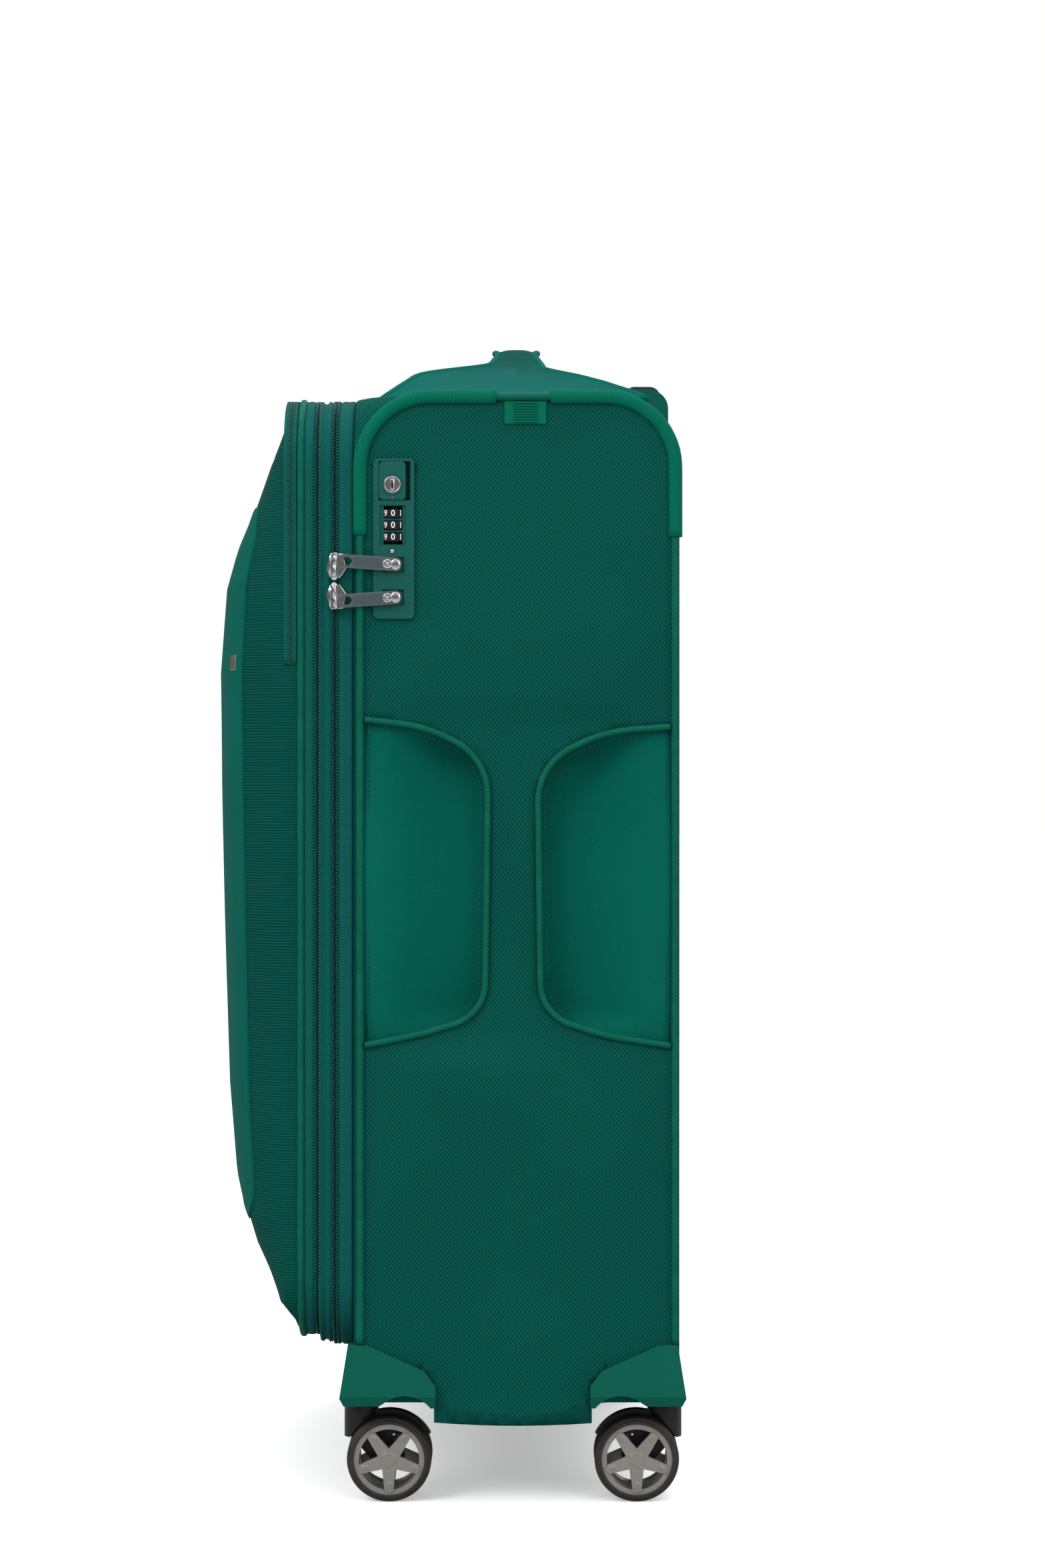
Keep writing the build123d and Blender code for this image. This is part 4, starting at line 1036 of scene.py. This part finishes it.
class SUITCASE_OT_top_handle(bpy.types.Operator):
    """Padded top handle that fans out into the case's top corners"""
    bl_idname = "suitcase.top_handle"
    bl_label = "Top handle"
    STATIONS = 48
    ROUND = 28
    EDGE_R = 2.1
    LIP_X = 80

    def execute(self, context):
        rings = []
        for x in self.stations():
            grip = 1 - soft_step(abs(x), 58, 92)
            thick = 2.3 + 4.6 * grip
            middle = arch_z(x) - thick
            dip = 2.4 * soft_step(abs(x), 70, 120) * (1 - soft_step(abs(x), 190, 214))
            ring = []
            for turn in range(self.ROUND):
                angle = 2 * pi * turn / self.ROUND
                half = fan_half(x, cos(angle) < 0)
                y = half * abs(cos(angle)) ** 0.62 * (1 if cos(angle) > 0 else -1)
                z = thick * abs(sin(angle)) ** 0.75 * (1 if sin(angle) > 0 else -1)
                hollow = dip * (1 - (y / half) ** 2)
                hollow += wing_droop(x, HANDLE_Y + y)
                ring.append(Vector((x, HANDLE_Y + y, middle + z - hollow)) * MM)
            rings.append(ring)
        cover = skin("top_handle_cover", rings, "handle_fabric", "case")
        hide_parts("top_handle")
        for way, label in ((-1, "front"), (1, "rear")):
            edge = []
            for x in self.stations():
                raised = 1 - soft_step(abs(x), 64, 72)
                lip = exp(-((abs(x) - self.LIP_X) / 7) ** 2)
                level = arch_z(x) - 2.6 - 4 * raised + 0.4 * lip
                half = fan_half(x, way < 0) - 0.4 + 1.6 * lip
                y = HANDLE_Y + way * half
                edge.append(Vector((x, y, level - wing_droop(x, y))) * MM)
            rolled_edge("handle_edge_" + label, edge, self.EDGE_R)
        return {"FINISHED"}

    def stations(self):
        """Places along the handle, in millimetres from its middle."""
        return [HANDLE_END * step / self.STATIONS for step in range(-self.STATIONS, self.STATIONS + 1)]


def rolled_edge(name, line, radius):
    """A covered cord along a line in space."""
    rings = []
    for index, place in enumerate(line):
        before = line[max(index - 1, 0)]
        after = line[min(index + 1, len(line) - 1)]
        ahead = (after - before).normalized()
        side = ahead.cross(Vector((0, 0, 1))).normalized()
        up = side.cross(ahead).normalized()
        rings.append([place + side * (a * MM) + up * (b * MM) for a, b in round_section(radius)])
    return skin(name, rings, "handle_fabric", "case")


# ------------------------------------------------------------------ CAD pieces that keep their shape
def bevelled(node, width, finish=None, angle=35, segments=2):
    """A CAD node with soft edges and its finish."""
    piece = frame["nodes"][node]
    weld = piece.modifiers.new("weld", "WELD")
    weld.merge_threshold = 0.005 * MM
    bevel = piece.modifiers.new("edge", "BEVEL")
    bevel.width = width * MM
    bevel.segments = segments
    bevel.limit_method = "ANGLE"
    bevel.angle_limit = radians(angle)
    bevel.harden_normals = False
    finish_node(node, finish)
    return piece


def finish_node(node, finish):
    """A CAD node's material."""
    piece = frame["nodes"][node]
    if piece.material_slots:
        for material_slot in piece.material_slots:
            material_slot.material = FINISH[finish]
    else:
        piece.data.materials.append(FINISH[finish])


def primitive_done(name, place, turn, slot, body, finish=None):
    """Names the new primitive, moves it by turn and place in its mesh, and dresses it."""
    piece = bpy.context.object
    piece.name = name
    piece.data.name = name
    piece.data.transform(Matrix.Translation(Vector(place) * MM) @ turn.to_4x4())
    piece.data.shade_smooth()
    piece.data.set_sharp_from_angle(angle=radians(40))
    return dressed(piece, slot, body, finish)


def bead(name, place, radii, slot, body, turn=None, finish=None):
    """A small polished ellipsoid, radii in millimetres."""
    bpy.ops.object.select_all(action="DESELECT")
    bpy.ops.mesh.primitive_uv_sphere_add(segments=20, ring_count=12, radius=1)
    bpy.context.object.data.transform(Matrix.Diagonal((*[radius * MM for radius in radii], 1)))
    return primitive_done(name, place, turn or Matrix.Identity(3), slot, body, finish)


def ring_bead(name, place, major, minor, slot, body, turn, finish=None):
    """A small ring, radii in millimetres."""
    bpy.ops.object.select_all(action="DESELECT")
    bpy.ops.mesh.primitive_torus_add(major_segments=32, minor_segments=10, major_radius=major * MM,
                                     minor_radius=minor * MM)
    return primitive_done(name, place, turn, slot, body, finish)


def rounded_plate(name, size, corner, rise, place, turn, slot, body, finish=None):
    """A thin plate with round corners and a softened rim, sizes in millimetres."""
    bpy.ops.object.select_all(action="DESELECT")
    half_u, half_v = size[0] / 2, size[1] / 2
    corners = [(half_u, -half_v), (half_u, half_v), (-half_u, half_v), (-half_u, -half_v)]
    route = rounded_route(corners, corner, True, radians(15))
    rings = [[Vector((spot.x * draw, spot.y * draw, z)) * MM for spot in route]
             for draw, z in ((1.0, -rise), (1.0, rise * 0.5), (0.985, rise * 0.9), (0.96, rise))]
    piece = skin(name, rings, slot, None, finish=finish)
    piece.data.transform(Matrix.Translation(Vector(place) * MM) @ turn.to_4x4())
    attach(piece, body)
    piece.data.set_sharp_from_angle(angle=radians(50))
    return piece


def facing_side(tilt=0.0):
    """Turns flat work to face +x, its first direction along +y, tilted by some degrees."""
    along = Vector((0, cos(radians(tilt)), sin(radians(tilt))))
    outward = Vector((1, 0, 0))
    return Matrix((along, outward.cross(along), outward)).transposed()


class SUITCASE_OT_lock_detail(bpy.types.Operator):
    """Numerals, key face, red mark and reset pin of the lock"""
    bl_idname = "suitcase.lock_detail"
    bl_label = "Lock detail"

    def execute(self, context):
        faces = facing_side()
        facet = 2 * pi / FACETS
        for number, z in enumerate(DIAL_LEVELS, start=1):
            for order, sign in enumerate("1098765432"):
                self.numeral("numeral_%d_%d" % (number, order), sign, facet * (1 - order), z,
                             "number_wheel_body_%d" % number)
        bead("lock_red_dot", (221.75, -30.7, 603.7), (0.25, 0.55, 0.55), "lock_plastic",
             "lock_button_body", finish="red_dot")
        bead("reset_pin", (220.3, KEY_Y, 571.5), (0.8, 1.45, 1.45), "chrome", "case")
        collar = (KEY_X - 0.15, KEY_Y, KEY_Z)
        face = (KEY_X, KEY_Y, KEY_Z)
        slot = (KEY_X + 0.3, KEY_Y, KEY_Z)
        ring_bead("key_ring", collar, 6.1, 0.35, "lock_plastic", "lock_button_body", faces)
        ring_bead("key_face_ring", face, 4.6, 0.28, "chrome", "key_body", faces)
        rounded_plate("key_slot_block", (2.6, 7.0), 0.9, 0.3, face, faces, "chrome", "key_body")
        rounded_plate("key_slot", (1.1, 5.2), 0.4, 0.15, slot, faces, "black_plastic", "key_body")
        return {"FINISHED"}

    def numeral(self, name, sign, angle, z, body):
        """One raised white numeral on a number wheel."""
        bpy.ops.object.select_all(action="DESELECT")
        bpy.ops.object.text_add()
        words = bpy.context.object
        words.data.body = sign
        words.data.size = 5.2 * MM
        words.data.align_x = "CENTER"
        words.data.align_y = "CENTER"
        words.data.extrude = 0.06 * MM
        words.data.offset = 0.05 * MM
        words.data.resolution_u = 3
        bpy.ops.object.convert(target="MESH")
        reach = DIAL_R * cos(pi / FACETS) + 0.06
        out = Vector((cos(angle), sin(angle), 0))
        turn = Matrix((Vector((0, 0, 1)).cross(out), Vector((0, 0, 1)), out)).transposed()
        place = Vector((DIAL_X, DIAL_Y, z)) + out * reach
        primitive_done(name, place, turn, "black_plastic", body, "numerals")


class SUITCASE_OT_pull_detail(bpy.types.Operator):
    """Bridges, noses, inlays and polished tips of both zip pulls"""
    bl_idname = "suitcase.pull_detail"
    bl_label = "Pull detail"
    TAB_HALF = 1.3

    def execute(self, context):
        for label, (z, tilt, way) in zip(("upper", "lower"), PULLS):
            turn = facing_side(tilt)
            slider = label + "_slider_body"
            tab = label + "_tab_body"
            inlay = self.on_tab(19.6, z, tilt)
            ring = self.on_tab(31.4, z, tilt)
            dimple = self.on_tab(31.4, z, tilt, 0.25)
            tip = self.on_tab(36.3, z, tilt, 0.35)
            bead(label + "_bridge", (221.3, PULL_Y - 2.9, z - 2.5 * way), (0.9, 1.25, 6.2), "chrome", slider)
            bead(label + "_nose", (219.9, PULL_Y - 0.6, z - 9.6 * way), (1.7, 2.4, 2.4), "chrome", slider)
            rounded_plate(label + "_inlay", (17.5, 6.3), 0.6, 0.12, inlay, turn, "chrome", tab, "slate")
            ring_bead(label + "_dimple_ring", ring, 2.35, 0.42, "chrome", tab, turn)
            bead(label + "_dimple", dimple, (0.35, 1.3, 1.3), "chrome", tab)
            bead(label + "_tip", tip, (0.75, 3.2, 3.6), "chrome", tab)
        return {"FINISHED"}

    def on_tab(self, along, z, tilt, sunk=0.0):
        """A place along a tab's outer face, in millimetres from its pin."""
        lean = radians(tilt)
        return (PULL_X + self.TAB_HALF - sunk, PULL_Y + along * cos(lean), z + along * sin(lean))


BEVELS = {
    "wheel_housings": 0.9, "handle_bezel": 0.8, "pull_grip": 0.4, "grip_button": 0.3,
    "lock_plate": 0.45, "lock_button": 0.3, "key_cylinder": 0.2, "badge": 0.5, "housing_screws": 0.2,
}


class SUITCASE_OT_hard_parts(bpy.types.Operator):
    """Finishes of the CAD pieces that keep their own shape"""
    bl_idname = "suitcase.hard_parts"
    bl_label = "Hard parts"

    def execute(self, context):
        for row in frame["record"]["subparts"]:
            node = row["node"]
            finish = row["material_slot"]
            if node in BEVELS:
                bevelled(node, BEVELS[node], finish)
            elif node.startswith(("fork", "outer_rim", "inner_rim")):
                bevelled(node, 0.4, finish)
            elif node.startswith(("outer_tyre", "inner_tyre")):
                bevelled(node, 0.35, finish)
            elif node.endswith(("slider", "pull_tab")):
                bevelled(node, 0.22, finish)
            else:
                finish_node(node, finish)
        finish_node("lock_button", "lock_plastic")
        return {"FINISHED"}


class SUITCASE_OT_rim_detail(bpy.types.Operator):
    """Hub caps and rounded spoke tips on the outer faces of the wheels"""
    bl_idname = "suitcase.rim_detail"
    bl_label = "Rim detail"
    SPOKES = 5
    TIP_REACH = 15.6

    def execute(self, context):
        for corner in ("front_right", "front_left", "rear_right", "rear_left"):
            low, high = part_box("outer_rim_" + corner)
            way = 1 if corner.endswith("right") else -1
            face = (high[0] if way > 0 else low[0]) / MM
            y = (low[1] + high[1]) / 2 / MM
            z = (low[2] + high[2]) / 2 / MM
            body = "outer_wheel_" + corner
            turn = facing_side()
            ring_bead("hub_ring_" + corner, (face - 0.1 * way, y, z), 5.3, 0.3, "rim_plastic", body, turn)
            bead("hub_cap_" + corner, (face - 0.2 * way, y, z), (0.7, 4.9, 4.9), "rim_plastic", body)
            for spoke in range(self.SPOKES):
                angle = radians(-90 + 360 / self.SPOKES * spoke)
                place = (face - 1.1 * way, y + self.TIP_REACH * cos(angle), z + self.TIP_REACH * sin(angle))
                name = "spoke_tip_%s_%d" % (corner, spoke)
                turned = Matrix.Rotation(angle, 3, "X")
                bead(name, place, (1.5, 3.6, 2.6), "rim_plastic", body, turned)
        return {"FINISHED"}


# ------------------------------------------------------------------ stage
class SUITCASE_OT_stage(bpy.types.Operator):
    """White floor, soft studio light and the camera"""
    bl_idname = "suitcase.stage"
    bl_label = "Stage"
    FLOOR_SEEN = (0.94, 0.94, 0.94)
    FLOOR_BOUNCE = (0.45, 0.45, 0.45)
    FLOOR_GLOW = 0.3
    LIGHTS = (("key", (2.2, -1.9, 2.3), 1.6, 46.0), ("fill", (2.6, 1.7, 1.5), 1.8, 16.0),
              ("top", (0.2, 0.2, 3.0), 2.2, 34.0), ("back", (-2.4, 1.6, 1.8), 1.6, 14.0))
    CAMERA_PLACE = (2.435, 0.047, 0.4322)
    LIGHT_AIM = Vector((0, 0.03, 0.38))

    def execute(self, context):
        scene = context.scene
        scene.view_settings.view_transform = "Standard"
        self.sky(scene)
        bpy.ops.mesh.primitive_plane_add(size=60, location=(0, 0, 0))
        floor = context.object
        floor.name = "floor"
        paper = Nodes("pale paper")
        seen = paper.node("ShaderNodeLightPath").outputs["Is Camera Ray"]
        paper.paint(seen, self.FLOOR_BOUNCE, self.FLOOR_SEEN)
        paper.surface(roughness=0.9, specular=0.0)
        paper.shader.inputs["Emission Color"].default_value = (1, 1, 1, 1)
        paper.wire(paper.math("MULTIPLY", seen, self.FLOOR_GLOW), paper.shader.inputs["Emission Strength"])
        floor.data.materials.append(paper.material)
        for name, place, size, power in self.LIGHTS:
            self.light(name, place, size, power)
        camera_data = bpy.data.cameras.new("camera")
        camera_data.lens = 85
        camera_data.sensor_width = 36
        camera_data.sensor_fit = "AUTO"
        camera = bpy.data.objects.new("camera", camera_data)
        camera.location = self.CAMERA_PLACE
        camera.rotation_euler = (radians(90), 0, radians(90))
        context.collection.objects.link(camera)
        scene.camera = camera
        return {"FINISHED"}

    def sky(self, scene):
        """White surroundings, which polished faces see as dark near the floor and bright above."""
        world = bpy.data.worlds.new("studio")
        scene.world = world
        world.use_nodes = True
        tree = world.node_tree
        path = tree.nodes.new("ShaderNodeLightPath")
        way = tree.nodes.new("ShaderNodeTexCoord")
        parts = tree.nodes.new("ShaderNodeSeparateXYZ")
        tree.links.new(way.outputs["Generated"], parts.inputs[0])
        rise = tree.nodes.new("ShaderNodeMapRange")
        rise.inputs["From Min"].default_value = 0.05
        rise.inputs["From Max"].default_value = 0.75
        rise.inputs["To Min"].default_value = 0.10
        rise.inputs["To Max"].default_value = 1.0
        tree.links.new(parts.outputs[2], rise.inputs["Value"])
        tree.nodes["Background"].inputs["Color"].default_value = (1, 1, 1, 1)
        choose = tree.nodes.new("ShaderNodeMix")
        choose.inputs[2].default_value = 1.0
        tree.links.new(path.outputs["Is Glossy Ray"], choose.inputs[0])
        tree.links.new(rise.outputs[0], choose.inputs[3])
        tree.links.new(choose.outputs[0], tree.nodes["Background"].inputs["Strength"])

    def light(self, name, place, size, power):
        """A square soft light aimed at the middle of the suitcase."""
        lamp = bpy.data.lights.new(name, "AREA")
        lamp.size = size
        lamp.energy = power
        holder = bpy.data.objects.new(name, lamp)
        holder.location = place
        aim = self.LIGHT_AIM - Vector(place)
        holder.rotation_euler = aim.to_track_quat("-Z", "Y").to_euler()
        bpy.context.collection.objects.link(holder)


# ------------------------------------------------------------------ panel and run
STEPS = [
    SUITCASE_OT_stage, SUITCASE_OT_hard_parts, SUITCASE_OT_rim_detail, SUITCASE_OT_case_panels,
    SUITCASE_OT_belly_ends, SUITCASE_OT_hand_recess,
    SUITCASE_OT_side_piping, SUITCASE_OT_zip_bands, SUITCASE_OT_hinge_strip, SUITCASE_OT_front,
    SUITCASE_OT_top_handle, SUITCASE_OT_lock_detail, SUITCASE_OT_pull_detail,
]


class SUITCASE_PT_panel(bpy.types.Panel):
    """Lists the steps of the suitcase"""
    bl_label = "Suitcase"
    bl_space_type = "VIEW_3D"
    bl_region_type = "UI"
    bl_category = "Suitcase"

    def draw(self, context):
        for step in STEPS:
            self.layout.operator(step.bl_idname)


CLASSES = [SuitcaseColours, SuitcaseSizes, *STEPS, SUITCASE_PT_panel]


def register():
    """Adds the classes and their settings."""
    for entry in CLASSES:
        bpy.utils.register_class(entry)
    bpy.types.Scene.suitcase_colours = PointerProperty(type=SuitcaseColours)
    bpy.types.Scene.suitcase_sizes = PointerProperty(type=SuitcaseSizes)


def unregister():
    """Removes them again."""
    del bpy.types.Scene.suitcase_sizes
    del bpy.types.Scene.suitcase_colours
    for entry in reversed(CLASSES):
        bpy.utils.unregister_class(entry)


def main():
    """Builds every piece in order."""
    register()
    FINISH.update(make_finishes())
    for step in STEPS:
        group, name = step.bl_idname.split(".")
        getattr(getattr(bpy.ops, group), name)()
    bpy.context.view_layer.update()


if __name__ == "__main__":
    main()
